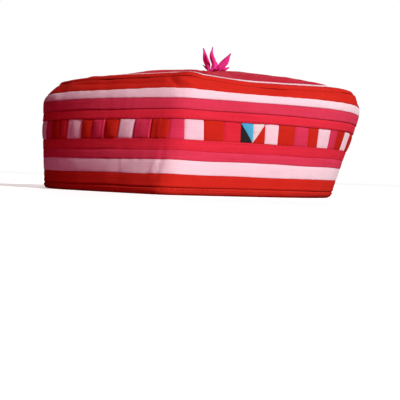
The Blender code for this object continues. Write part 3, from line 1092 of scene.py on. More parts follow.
@dataclass(frozen=True)
class PatchworkRow:
    """The row of patches between the two rose strips, and the pieced block in it."""

    node: str = "patchwork_row"
    lower: Boundary = BOUNDARIES[4]
    upper: Boundary = BOUNDARIES[5]
    steps: int = 12
    first_start: float = -118.5 * MM
    seam_depth: float = 0.24 * MM
    seam_width: float = 0.45 * MM
    puff: float = 0.10 * MM
    puff_reach: float = 1.5 * MM
    billow: Pair = (0.30 * MM, 0.80 * MM)
    taut_side: Pair = (0.0, 130.0 * MM)
    taut_billow: float = 0.12
    slant: float = 0.35 * MM
    hidden_patches: int = 15
    hidden_uneven: Pair = (0.86, 1.14)
    pucker_share: float = 0.8
    puff_power: float = 0.5
    ridge_mm: Pair = (0.05, 0.60)
    ridge_place: float = 1.1 * MM
    ridge_width: float = 0.6 * MM
    ridge_foot: float = 0.75
    top_width: float = 0.9 * MM
    foot: Ridge = Ridge(0.12 * MM, 0.6 * MM)
    seam_shade: Ridge = Ridge(0.10, 0.30 * MM)
    pinch_place: float = 0.6 * MM
    pinch_width: float = 0.38 * MM
    tuck: Ridge = Ridge(0.55 * MM, 0.75 * MM)
    tuck_start: float = 0.75
    tuck_room: float = 0.5
    hollow_place: float = 1.3
    hollow_depth: float = 0.6
    hollow_shade: float = 0.35
    cut: Ridge = Ridge(0.30 * MM, 0.45 * MM)
    cut_shade: Ridge = Ridge(0.12, 0.25 * MM)
    back_shares: tuple[float, ...] = (0.98, 0.65, 0.35, 0.02)
    rubbed_at: float = 1.4 * MM
    tone_spread: float = 0.35

    @cached_property
    def shown(self) -> tuple[Patch, ...]:
        """The patches that the front shows, from the left to the right."""
        red, magenta = Cloth.RED_PATCH, Cloth.MAGENTA_PATCH
        rose, pale = Cloth.ROSE_PATCH, Cloth.PALE_PATCH
        return (
            Patch(-107.2 * MM, pale),
            Patch(-98.6 * MM, magenta, tucks=2),
            Patch(-87.5 * MM, red, tucks=4),
            Patch(-79.8 * MM, rose),
            Patch(-67.1 * MM, pale),
            Patch(-57.5 * MM, red),
            Patch(-47.5 * MM, magenta, pinch=0.40 * MM),
            Patch(-37.0 * MM, red),
            Patch(-26.1 * MM, pale),
            Patch(-15.0 * MM, magenta, pinch=0.40 * MM),
            Patch(-3.6 * MM, red, tucks=1),
            Patch(4.7 * MM, magenta),
            Patch(15.4 * MM, pale),
            Patch(27.2 * MM, red),
            Patch(37.2 * MM, rose),
            Patch(44.8 * MM, Cloth.BLACK_PATCH, Cut.FALLING, Cloth.BLUE_PATCH),
            Patch(52.4 * MM, Cloth.WHITE_PATCH, Cut.RISING, Cloth.RED_PATCH),
            Patch(60.9 * MM, pale),
            Patch(72.3 * MM, red),
            Patch(82.1 * MM, magenta),
            Patch(89.7 * MM, red),
            Patch(99.7 * MM, pale),
            Patch(107.2 * MM, magenta),
            Patch(116.8 * MM, red),
            Patch(127.0 * MM, pale),
        )

    def patches(self, whole: float) -> list[Patch]:
        """Gives all patches from the back crease round to it again.

        Args:
            whole: The band's whole girth.

        Returns:
            The patches in order.
        """
        cycle = (Cloth.RED_PATCH, Cloth.MAGENTA_PATCH, Cloth.RED_PATCH, Cloth.PALE_PATCH)
        uneven = np.random.default_rng(21).uniform(*self.hidden_uneven, (2, self.hidden_patches))
        ends = np.cumsum(uneven, axis=1) / uneven.sum(axis=1, keepdims=True)
        back = whole / 2
        before = [
            Patch(mix(-back, self.first_start, end), cycle[(number + 3) % 4], tucks=int(number % 5 == 2))
            for number, end in enumerate(ends[0])
        ]
        last = self.shown[-1].end
        after = [
            Patch(mix(last, back, end), cycle[number % 4], tucks=int(number % 6 == 3))
            for number, end in enumerate(ends[1])
        ]
        return [*before, *self.shown, *after]

    def relief(self, room: Workroom, starts: Array, patches: list[Patch], girth: Array,
               rise: Array, share: Array, number: Array) -> tuple[Array, Array]:
        """Gives how the row's face stands out and how dark its seams show.

        Args:
            room: The workroom.
            starts: Where each patch starts, and where the last ends.
            patches: The patches.
            girth: Girths of the columns.
            rise: Rises of the points.
            share: Shares of the row's height.
            number: The patch of each column.

        Returns:
            Lengths out of the wall, and shares of seam shade.
        """
        form = BandRelief()
        whole = room.band.girth
        random = np.random.default_rng(22)
        ridges = random.uniform(*self.ridge_mm, len(patches)) * MM
        billows = random.uniform(*self.billow, len(patches))
        taut = (starts[1:] > self.taut_side[0]) & (starts[1:] < self.taut_side[1])
        billows, ridges = (height * np.where(taut, self.taut_billow, 1.0) for height in (billows, ridges))
        from_left = girth - starts[number]
        from_right = starts[number + 1] - girth
        from_low, from_high = rise - rise[0], rise[-1] - rise
        arch = np.sin(np.pi * share) ** self.puff_power
        out = form.at(girth, rise, whole)
        near = np.exp(-from_low / self.puff_reach) + np.exp(-from_high / self.puff_reach)
        out = out + self.pucker_share * form.pucker_height * form.pucker.at(girth / whole, rise) * near
        left, right = (1.0 - np.exp(-far / self.puff_reach) for far in (from_left, from_right))
        out = out + self.puff * (left * right) * arch
        within = from_left / (from_left + from_right)
        out = out + billows[number] * np.sin(np.pi * within) * arch
        edges = bell(from_left, self.seam_width) + bell(from_right, self.seam_width)
        out = out - self.seam_depth * edges
        ridge = bell(from_left - self.ridge_place, self.ridge_width)
        out = out + ridges[number] * ridge * mix(self.ridge_foot, 1.0, share)
        out = out - self.upper.tuck * bell(from_high, self.top_width)
        out = out - self.foot.at(from_low)
        dark = self.seam_shade.at(from_left) + self.seam_shade.at(from_right)
        dark = dark + self.upper.dark(from_high) + self.lower.dark(from_low)
        for index, patch in enumerate(patches):
            inside = number == index
            width = starts[index + 1] - starts[index]
            out = out + inside * patch.pinch * bell(from_right - self.pinch_place, self.pinch_width)
            for tuck in range(patch.tucks):
                middle = starts[index] + width * (tuck + self.tuck_start) / (patch.tucks + self.tuck_room)
                lean = random.uniform(-1.0, 1.0) * MM
                away = girth - middle - lean * (share - 0.5)
                out = out + inside * self.tuck.at(away)
                behind = bell(away - self.hollow_place * self.tuck.width, self.tuck.width)
                out = out - inside * self.hollow_depth * self.tuck.height * behind
                dark = dark + inside * self.hollow_shade * behind
            if patch.cut is not Cut.PLAIN:
                across = from_left / width
                slope = across - share if patch.cut is Cut.RISING else across + share - 1.0
                height = rise[-1] - rise[0]
                away = slope * width * height / np.hypot(width, height)
                out = out - inside * self.cut.at(away)
                dark = dark + inside * self.cut_shade.at(away)
        return out, np.clip(dark, 0.0, 1.0)

    def build(self, room: Workroom) -> Piece:
        """Builds and fits the row.

        Args:
            room: The workroom.

        Returns:
            The piece.
        """
        band, whole = room.band, room.band.girth
        patches = self.patches(whole)
        starts = np.array([-whole / 2, *(patch.end for patch in patches)])
        shares = cosine_shares(self.steps)
        number = np.repeat(np.arange(len(patches)), self.steps)
        within = np.tile(shares[:-1], len(patches))
        girth = mix(starts[number], starts[number + 1], within)
        low, high = seam_to_seam(self.lower, self.upper, girth / whole)
        share = shares[:, None] + 0.0 * girth
        rise = mix(low, high, share)
        out, dark = self.relief(room, starts, patches, girth, rise, share, number)
        leans = np.random.default_rng(23).uniform(-1.0, 1.0, len(starts)) * self.slant
        leans[-1] = leans[0]
        lean = (np.interp(girth, starts, leans) - self.drift(band, girth)) * (share - 0.5)
        face = band.wall(band.around_at(girth + lean), rise, -out)
        back_rise = mix(low, high, np.array(self.back_shares)[:, None])
        back = band.wall(band.around_at(girth), back_rise, np.full(back_rise.shape, STRIP_THICKNESS))
        points = np.concatenate((face, back))
        lengths = band.cloth_lengths(girth, np.concatenate((rise, back_rise, rise[:1])))
        cloths = list(dict.fromkeys(c for patch in patches for c in (patch.cloth, patch.second) if c))
        material_of, splits = self.cloth_of_faces(patches, number, cloths, len(points))
        tones = np.random.default_rng(24).uniform(-self.tone_spread, self.tone_spread, len(patches))
        fields = two_sided(dark, out, self.rubbed_at, len(back_rise), BACK_SHADE)
        fields[TONE] = np.broadcast_to(tones[number], points.shape[:2])
        materials = [room.shop.material(cloth) for cloth in cloths]
        piece = ClothMesh(points, lengths).build(self.node + "_cloth", materials, material_of, fields, splits)
        return room.fit(piece, Cloth.RED_PATCH, self.node)

    def drift(self, band: BandForm, girth: Array) -> Array:
        """Gives how far the form's own upright lines lean over the row's height.

        Args:
            band: The band's form.
            girth: Lengths round the band.

        Returns:
            Lengths round the band, from the row's foot to its top.
        """
        low, high = self.lower.rise / band.wall_length, self.upper.rise / band.wall_length
        around, middle = band.around_at(girth), (low + high) / 2
        step = band.slope_step
        along = band.face(around + step, middle) - band.face(around - step, middle)
        along = along / np.linalg.norm(along, axis=-1, keepdims=True)
        return ((band.face(around, high) - band.face(around, low)) * along).sum(axis=-1)

    def cloth_of_faces(self, patches: list[Patch], number: Array, cloths: list[Cloth],
                       rows: int) -> tuple[Array, dict[int, tuple[bool, int, int]]]:
        """Gives each face its cloth.

        Args:
            patches: The patches.
            number: The patch of each column.
            cloths: The piece's cloths in the order of its materials.
            rows: The rows of faces.

        Returns:
            The material of each quad, and the quads that a slanting seam cuts.
        """
        columns = len(number)
        material_of = np.zeros((rows, columns), int)
        splits = {}
        for column in range(columns):
            patch = patches[number[column]]
            first = cloths.index(patch.cloth)
            material_of[:, column] = first
            if patch.cut is Cut.PLAIN:
                continue
            second = cloths.index(patch.second)
            step = column % self.steps
            for row in range(self.steps):
                rising = patch.cut is Cut.RISING
                side = row - step if rising else self.steps - 1 - row - step
                if side < 0:
                    material_of[row, column] = second
                if side == 0:
                    splits[row * columns + column] = (rising, first, second)
        return material_of.ravel(), splits


@dataclass(frozen=True)
class HemBinding:
    """The binding folded round the rim, with its two legs and its rounded foot."""

    node: str = "hem_binding"
    columns: int = 448
    foot_radius: float = 1.75 * MM
    thickness: float = 1.0 * MM
    inner_depth: float = 3.6 * MM
    floor_rise: float = 1.2 * MM
    puff: float = 0.30 * MM
    leg_rows: int = 9
    foot_rows: int = 9
    stitch_rise: float = 3.1 * MM
    foot_puff: float = 0.4
    inner_drop: float = 0.2 * MM
    channel_drop: float = 0.1 * MM
    edge_shade: float = 0.4
    channel_shade: float = 0.8
    swell: float = 0.1 * MM
    swell_end: float = 0.97
    tuck_width: float = 0.7 * MM
    face_depth: float = 0.5 * MM
    relief_share: float = 0.5
    relief_rise: float = 1.5 * MM
    level_rise: float = 1.2 * MM
    rubbed_at: float = 0.8 * MM

    def outline(self, top: Array) -> tuple[Array, Array, Array]:
        """Gives the binding's section.

        Args:
            top: The rise of the outer leg's top at each column.

        Returns:
            Depths, rises and shares of seam shade, a row for each corner of the section.
        """
        leg, foot = cosine_shares(self.leg_rows), []
        middle, inner_back = self.inner_depth / 2, self.inner_depth - self.thickness
        for angle in np.linspace(-math.pi, 0.0, self.foot_rows):
            depth = middle + (middle + self.puff * self.foot_puff) * math.cos(angle)
            foot.append((self.inner_depth - depth, self.foot_radius * (1.0 + math.sin(angle)), 0.0))
        inner_top = top - self.inner_drop
        inner_leg = [(self.inner_depth, mix(self.foot_radius, inner_top, share), 0.0) for share in leg[1:]]
        channel = [
            (inner_back, inner_top, self.edge_shade),
            (inner_back, self.floor_rise, self.channel_shade),
            (self.thickness, self.floor_rise, self.channel_shade),
        ]
        outer_leg = [(self.thickness, top - self.channel_drop, self.channel_shade)]
        for share in leg[::-1][:-1]:
            rise = mix(self.foot_radius, top, share)
            bulge = self.puff * math.sin(math.pi * min(share, self.swell_end)) ** PUFF_POWER + self.swell
            tuck = HEM_TOP.tuck * bell(top - rise, self.tuck_width)
            outer_leg.append((tuck - bulge, rise, HEM_TOP.dark(top - rise)))
        ordered = [*outer_leg, *foot[::-1], *inner_leg, *channel][::-1]
        return tuple(np.stack([value + 0.0 * top for value in values]) for values in zip(*ordered))

    def build(self, room: Workroom) -> Piece:
        """Builds and fits the binding.

        Args:
            room: The workroom.

        Returns:
            The piece.
        """
        band, whole = room.band, room.band.girth
        girth = band.girths(self.columns)
        turn = girth / whole
        depth, rise, dark = self.outline(HEM_TOP.line(turn) - STRIP_GAP / 2)
        form = BandRelief()
        uneven = self.relief_share * form.at(girth, rise, whole)
        uneven = uneven + form.pucker_height * form.pucker.at(turn, rise)
        uneven = np.where(depth < self.face_depth, uneven, 0.0)
        depth = depth - uneven * eased(rise / self.relief_rise)
        around = band.around_at(girth)
        share = np.clip(rise / band.wall_length, 0.0, 1.0)
        square = band.square(around, share)
        level = square * np.array((1.0, 1.0, 0.0))
        level = level / np.linalg.norm(level, axis=-1, keepdims=True)
        square = mix(level, square, eased(rise / self.level_rise)[..., None])
        points = band.face(around, share) - depth[..., None] * square
        points[..., 2] = np.maximum(points[..., 2], 0.0)
        steps = np.linalg.norm(np.diff(np.concatenate((points, points[:1])), axis=0), axis=-1).mean(axis=1)
        across = np.concatenate(((0.0,), np.cumsum(steps)))
        piece = ClothMesh(points, band.cloth_lengths(girth, across[:, None] + 0.0 * girth)).build(
            self.node + "_cloth",
            [room.shop.material(Cloth.HEM_RED)],
            fields={SEAM_SHADE: dark, RAISED: np.clip(-depth / self.rubbed_at, 0.0, 1.0)},
        )
        return room.fit(piece, Cloth.HEM_RED, self.node)


@dataclass(frozen=True)
class BandLining:
    """The cloth that backs the strips, with two upright seams inside."""

    node: str = "band_lining"
    columns: int = 320
    rows: int = 20
    foot: float = 1.5 * MM
    seam_girths: tuple[float, ...] = (0.26, -0.24)
    ripple: float = 0.22 * MM
    seam: Ridge = Ridge(0.5 * MM, 0.9 * MM)
    seam_shade: Ridge = Ridge(0.6, 0.7 * MM)
    welt: Ridge = Ridge(0.45 * MM, 1.5 * MM, 3.0 * MM)

    def build(self, room: Workroom) -> Piece:
        """Builds and fits the lining.

        Args:
            room: The workroom.

        Returns:
            The piece.
        """
        band, whole = room.band, room.band.girth
        girth = band.girths(self.columns)
        around = band.around_at(girth)
        share = np.linspace(0.0, 1.0, self.rows + 1)[:, None] + 0.0 * girth
        rise = mix(self.foot, band.wall_length, share)
        outer = np.full(rise.shape, LINING_DEPTH)
        turn = girth / whole
        wave = self.ripple * (1.0 + ClothNoise(31, 40, 30.0 * MM).at(turn, rise)) * np.sin(np.pi * share)
        inner = outer + LINING_THICKNESS + wave
        dark = np.zeros(rise.shape)
        for place in self.seam_girths:
            away = (girth - place * whole + whole / 2) % whole - whole / 2
            inner = inner - self.seam.at(away) + self.welt.at(away)
            dark = dark + self.seam_shade.at(away)
        rises = np.concatenate((rise, rise[::-1]))
        points = band.wall(around, rises, np.concatenate((outer, inner[::-1])))
        lengths = band.cloth_lengths(girth, np.concatenate((rises, rises[:1])))
        piece = ClothMesh(points, lengths).build(
            self.node + "_cloth",
            [room.shop.material(Cloth.LINING)],
            fields={SEAM_SHADE: np.concatenate((dark, dark[::-1]))},
        )
        return room.fit(piece, Cloth.LINING, self.node)


@dataclass(frozen=True)
class CrownForm:
    """The underside of the crown, with the sizes of the CAD source."""

    band: BandForm
    rise: float = 8.5 * MM
    roundness: float = 1.4
    swell: float = 1.2 * MM
    centre_x: float = 7.8 * MM
    gap: float = 0.3 * MM
    thickness: float = 1.5 * MM
    hole: float = 0.03

    def lining_edge(self, around: Array) -> Array:
        """Gives how high the inner edge of the lining's top lies.

        Args:
            around: Shares of the way round.

        Returns:
            Heights above the floor.
        """
        one = np.ones(around.shape)
        depth = one * (LINING_DEPTH + LINING_THICKNESS)
        return self.band.wall(around, one * self.band.wall_length, depth)[..., 2]

    def under(self, around: Array, out: Array) -> Array:
        """Gives points of the underside.

        Args:
            around: Shares of the way round.
            out: Shares of the way out to the edge.

        Returns:
            Points, with x, y and z last.
        """
        around, out = np.broadcast_arrays(np.asarray(around, float), np.asarray(out, float))
        edge = self.band.face(around, np.ones(around.shape))
        band_top = np.maximum(edge[..., 2], self.lining_edge(around))
        middle = np.array((self.centre_x, 0.0))
        flat = middle + (edge[..., :2] - middle) * out[..., None]
        height = mix(self.band.height + self.rise, band_top + self.gap, out**self.roundness)
        swell = self.swell * np.sin(4.0 * np.pi * around) ** 2 * 4.0 * out * (1.0 - out)
        return np.concatenate((flat, (height + swell)[..., None]), -1)

    def lifted(self, around: Array, out: Array, lift: Array) -> Array:
        """Returns points lifted this far off the underside, at shares round and shares out to the edge."""
        square = -square_to(self.under, around, out, self.band.slope_step)
        return self.under(around, out) + np.asarray(lift)[..., None] * square

    def above_lining(self, around: Array, out: float) -> Array:
        """Returns how far the underside, at this share of the way out, lies above the lining's inner edge."""
        return self.under(around, np.full(around.shape, out))[..., 2] - self.lining_edge(around)


@dataclass(frozen=True)
class CrownRing:
    """A strip of the crown that runs round inside the band's top."""

    node: str
    cloth: Cloth
    outer: float
    inner: float
    seed: int
    columns: int = 384
    rows: int = 12
    puff: float = 0.35 * MM
    inner_edge: Ridge = Ridge(0.35 * MM, 0.7 * MM)
    outer_edge: Ridge = Ridge(0.35 * MM, 0.8 * MM)
    turn_in: float = 0.0
    turn_in_full: Pair = (0.18, 0.38)
    turn_in_end: float = 0.66
    shade: float = 0.20
    shade_reach: float = 0.5 * MM
    plan_radius: float = 95.0 * MM
    wave_height: float = 0.12 * MM
    pucker_height: float = 0.03 * MM
    pucker_reach: float = 1.6 * MM
    under_shares: tuple[float, ...] = (0.99, 0.66, 0.58, 0.50, 0.42, 0.34, 0.26, 0.18, 0.10, 0.01)
    rubbed_at: float = 0.8 * MM

    def build(self, room: Workroom, form: CrownForm) -> Piece:
        """Builds and fits the strip.

        Args:
            room: The workroom.
            form: The crown's form.

        Returns:
            The piece.
        """
        around = np.arange(self.columns) / self.columns
        share = cosine_shares(self.rows)[:, None] + 0.0 * around
        out = mix(self.outer, self.inner, share)
        size = self.plan_radius
        from_outer, from_inner = (self.outer - out) * size, (out - self.inner) * size
        wave = ClothNoise(self.seed, 60, 12.0 * MM).at(around, out * size)
        pucker = ClothNoise(self.seed + 1, 170, 8.0 * MM).at(around, out * size)
        near = np.exp(-from_outer / self.pucker_reach) + np.exp(-from_inner / self.pucker_reach)
        lift = form.thickness + self.puff * np.sin(np.pi * share) ** PUFF_POWER + self.wave_height * wave
        lift = lift + self.pucker_height * pucker * near
        lift = lift - self.inner_edge.at(from_inner) - self.outer_edge.at(from_outer)
        dark = np.exp(-from_outer / self.shade_reach) + np.exp(-from_inner / self.shade_reach)
        dark = np.clip(self.shade * dark, 0.0, 1.0)
        under_share = np.array(self.under_shares)[:, None] + 0.0 * around
        under_out = mix(self.outer, self.inner, under_share)
        hang = self.seam_allowance(form, around, under_share)
        points = np.concatenate((form.lifted(around, out, lift), form.lifted(around, under_out, -hang)))
        girth = np.arange(self.columns + 1) / self.columns * room.band.girth
        places = np.concatenate((share, under_share, share[:1]))[:, :1] * (self.outer - self.inner) * size
        piece = ClothMesh(points, np.stack(np.broadcast_arrays(girth[None, :], places), -1)).build(
            self.node + "_cloth",
            [room.shop.material(self.cloth), room.shop.material(Cloth.LINING)],
            np.repeat([0] * self.rows + [1] * (len(under_share) + 1), self.columns),
            two_sided(dark, lift - form.thickness, self.rubbed_at, len(under_share)),
        )
        return room.fit(piece, self.cloth, self.node)

    def seam_allowance(self, form: CrownForm, around: Array, share: Array) -> Array:
        """Gives how far the strip's turned-in edge hangs, to lie against the top of the lining.

        Args:
            form: The crown's form.
            around: Shares of the way round.
            share: Shares of the way from the strip's outer edge to its inner one.

        Returns:
            Lengths below the crown's underside.
        """
        if not self.turn_in:
            return 0.0 * share
        first, last = self.turn_in_full
        reach = self.turn_in + form.above_lining(around, mix(self.outer, self.inner, last))
        return reach * eased(share / first) * eased((self.turn_in_end - share) / (self.turn_in_end - last))


@dataclass(frozen=True)
class CrownDrape:
    """Lets the slack cloth of the crown settle in a cloth simulation, held at its seams."""

    rows: int = 34
    columns: int = 176
    slack: float = -0.03
    frames: int = 24
    mass: float = 0.25
    bending: float = 0.35
    pressure: float = -0.6
    seam_hold: float = 0.75
    cap: float = 1.7 * MM
    quality: int = 6
    stretch_stiffness: float = 12.0
    shear_stiffness: float = 5.0
    air_damping: float = 2.0

    def settle(self, form: CrownForm, outer: float, inner: float) -> Array:
        """Runs the simulation.

        Args:
            form: The crown's form.
            outer: The share of the way out where the cloth is sewn.
            inner: The share where it is gathered.

        Returns:
            How far each point moves up, a row for each step inwards and a column for each step round.
        """
        around = np.arange(self.columns) / self.columns
        out = mix(outer, inner, np.linspace(0.0, 1.0, self.rows))[:, None] + 0.0 * around
        start = form.lifted(around, out, np.full(out.shape, form.thickness))
        places = np.arange(self.columns + 1.0)[None, :], np.arange(float(self.rows))[:, None]
        grid = np.stack(np.broadcast_arrays(*places), -1)
        piece = ClothMesh(start, grid, closed_rows=False).build("crown_drape", [])
        hold = piece.vertex_groups.new(name="sewn")
        columns_each = self.columns // 4
        for row in range(self.rows):
            for column in range(self.columns):
                weight = 0.0 if column % columns_each else self.seam_hold
                if row in (0, self.rows - 1):
                    weight = 1.0
                if weight:
                    hold.add([row * self.columns + column], weight, "REPLACE")
        cloth = piece.modifiers.new("Cloth", "CLOTH")
        settings = cloth.settings
        settings.quality = self.quality
        settings.mass = self.mass
        settings.tension_stiffness = settings.compression_stiffness = self.stretch_stiffness
        settings.shear_stiffness = self.shear_stiffness
        settings.bending_stiffness = self.bending
        settings.air_damping = self.air_damping
        settings.vertex_group_mass = hold.name
        settings.pin_stiffness = 1.0
        settings.shrink_min = self.slack
        settings.effector_weights.gravity = 0.0
        settings.use_pressure = True
        settings.uniform_pressure_force = self.pressure
        cloth.collision_settings.use_collision = False
        cloth.point_cache.frame_start, cloth.point_cache.frame_end = 1, self.frames
        scene = bpy.context.scene
        for frame in range(1, self.frames + 1):
            scene.frame_set(frame)
        evaluated = piece.evaluated_get(bpy.context.evaluated_depsgraph_get())
        moved = np.array([point.co[:] for point in evaluated.data.vertices]).reshape(start.shape)
        bpy.data.objects.remove(piece)
        scene.frame_set(1)
        lift = (moved - start)[..., 2]
        LOG.info("crown drape moved %.2f to %.2f mm", lift.min() / MM, lift.max() / MM)
        return self.cap * np.tanh(lift / self.cap)


@dataclass(frozen=True)
class Crown:
    """The crown: two strips and four panels that meet under the tuft, each lapping the next by a hair."""

    red_inner: float = 0.9030
    red_edge: Ridge = Ridge(1.45 * MM, 0.8 * MM)
    red_turn_in: float = 0.9 * MM
    pale_outer: float = 0.9033
    pale_inner: float = 0.8435
    panel_outer: float = 0.8438
    seam_lap: float = 0.00008
    names: tuple[str, ...] = ("front_right", "back_right", "back_left", "front_left")
    rows: int = 44
    columns: int = 44
    seam: Ridge = Ridge(0.75 * MM, 1.0 * MM)
    seam_shade: Shade = Shade(0.55, 0.45 * MM)
    wrinkle: float = 0.55 * MM
    fine_wrinkle: float = 0.22 * MM
    plan_radius: float = 92.0 * MM
    least_reach: float = 2.0 * MM
    middle_fade: float = 14.0 * MM
    edge_fade: float = 6.0 * MM
    least_fade: float = 0.4
    welt: Ridge = Ridge(0.35 * MM, 1.2 * MM, 2.6 * MM)
    welt_drop: float = 0.6
    pucker_height: float = 0.30 * MM
    pucker_reach: float = 3.0 * MM
    edge: Ridge = Ridge(0.5 * MM, 0.8 * MM)
    edge_shade: Shade = Shade(0.3, 0.5 * MM)
    middle_shade: Ridge = Ridge(0.4, 7.0 * MM)
    rubbed_at: float = 1.2 * MM
    cloth_thickness: float = 1.1 * MM
    flat: Pair = (0.090, 0.076)
    flat_share: float = 0.76

    def build(self, room: Workroom) -> list[Piece]:
        """Builds and fits the crown.

        Args:
            room: The workroom.

        Returns:
            Its pieces: the two strips, then the four panels.
        """
        form = CrownForm(room.band)
        drape = CrownDrape()
        settled = np.zeros((drape.rows, drape.columns))
        settled = drape.settle(form, self.panel_outer, form.hole)
        turned = {"outer_edge": self.red_edge, "turn_in": self.red_turn_in}
        rings = (
            CrownRing("crown_red_strip", Cloth.RED, 1.0, self.red_inner, 51, **turned),
            CrownRing("crown_pale_strip", Cloth.PALE, self.pale_outer, self.pale_inner, 61),
        )
        pieces = [ring.build(room, form) for ring in rings]
        return pieces + [self.panel(room, form, number, settled) for number in range(len(self.names))]

    def panel(self, room: Workroom, form: CrownForm, number: int, settled: Array) -> Piece:
        """Builds and fits one panel.

        Args:
            room: The workroom.
            form: The crown's form.
            number: Which quarter it fills.
            settled: How far the simulated cloth moves up.

        Returns:
            The piece.
        """
        along = cosine_shares(self.columns)
        inwards = np.linspace(0.0, 1.0, self.rows + 1)[:, None]
        around = (number + along) / 4.0 - self.seam_lap * (1.0 - 2.0 * along)
        out = mix(self.panel_outer, form.hole, inwards) + 0.0 * around
        reach = np.maximum(out * self.plan_radius, self.least_reach)
        from_edge = (self.panel_outer - out) * self.plan_radius
        lift = form.thickness + self.sampled(settled, around, inwards)
        fade = eased(reach / self.middle_fade) * eased(from_edge / self.edge_fade)
        lift = lift + self.wrinkle * fade * ClothNoise(71, 30, 90.0 * MM).at(around, reach + 20.0 * MM)
        lift = lift + self.fine_wrinkle * fade * ClothNoise(72, 76, 11.0 * MM).at(around, reach)
        pucker = ClothNoise(73 + number, 16, 3.4 * MM)
        dark = 0.0 * out
        for side, share in enumerate((along, 1.0 - along)):
            away = share * 0.25 * 2 * np.pi * reach
            lift = lift - self.seam.at(away) * fade.clip(self.least_fade, 1.0)
            lift = lift + self.welt.at(away) * fade * (1 - side * self.welt_drop)
            puckers = self.pucker_height * pucker.at(0.0 * around + 0.03 + side * 0.4, reach)
            lift = lift + puckers * np.exp(-away / self.pucker_reach) * fade
            dark = dark + self.seam_shade.at(away)
        lift = lift - self.edge.at(from_edge)
        dark = np.clip(dark + self.edge_shade.at(from_edge) + self.middle_shade.at(reach), 0.0, 1.0)
        top, under = (form.lifted(around, out, lift - depth) for depth in (0.0, self.cloth_thickness))
        across = (around - around.mean()) * 2 * np.pi * reach
        lengths = np.stack((across, reach), -1)
        lengths = np.concatenate((lengths, lengths[::-1], lengths[:1]))
        piece = ClothMesh(np.concatenate((top, under[::-1])), lengths, closed_columns=False).build(
            f"crown_panel_{self.names[number]}_cloth",
            [room.shop.material(Cloth.CROWN), room.shop.material(Cloth.LINING)],
            np.repeat([0, 1], (self.rows + 1) * self.columns),
            two_sided(dark, lift - form.thickness, self.rubbed_at, self.rows + 1),
        )
        close_ends(piece)
        room.fit(piece, Cloth.CROWN, "crown_panel_" + self.names[number])
        return piece

    def sampled(self, settled: Array, around: Array, inwards: Array) -> Array:
        """Reads the simulated lift between its points.

        Args:
            settled: The lift in rows inwards and columns round.
            around: Shares of the way round.
            inwards: Shares of the way inwards.

        Returns:
            The lift at each row and column.
        """
        rows, columns = settled.shape
        across = (around % 1.0) * columns
        up = np.clip(inwards, 0.0, 1.0) * (rows - 1)
        column, row = np.floor(across).astype(int), np.minimum(np.floor(up).astype(int), rows - 2)
        return read_between(settled, row, column, up - row, across - column)


def close_ends(piece: Piece) -> None:
    """Fills the two open ends of a section that is closed on itself, with faces that point outwards.

    Args:
        piece: The piece.
    """
    shell = bmesh.new()
    shell.from_mesh(piece.data)
    bmesh.ops.holes_fill(shell, edges=[edge for edge in shell.edges if edge.is_boundary], sides=0)
    bmesh.ops.triangulate(shell, faces=[face for face in shell.faces if len(face.verts) > 4])
    bmesh.ops.recalc_face_normals(shell, faces=shell.faces)
    shell.to_mesh(piece.data)
    shell.free()
    piece.data.shade_smooth()


def lengths_round(across: Array, up: Array) -> Array:
    """Returns the cloth map's lengths of a small part that closes on itself, with its closing column."""
    lengths = np.stack(np.broadcast_arrays(across, up), -1)
    return np.concatenate((lengths, lengths[:, -1:] + (1e-4, 0.0)), axis=1)


@dataclass(frozen=True)
class Petal:
    """One folded petal: its turn, its rise above level, its length, its width and its twist."""

    turn: float
    rise: float
    length: float
    width: float
    twist: float = 0.0


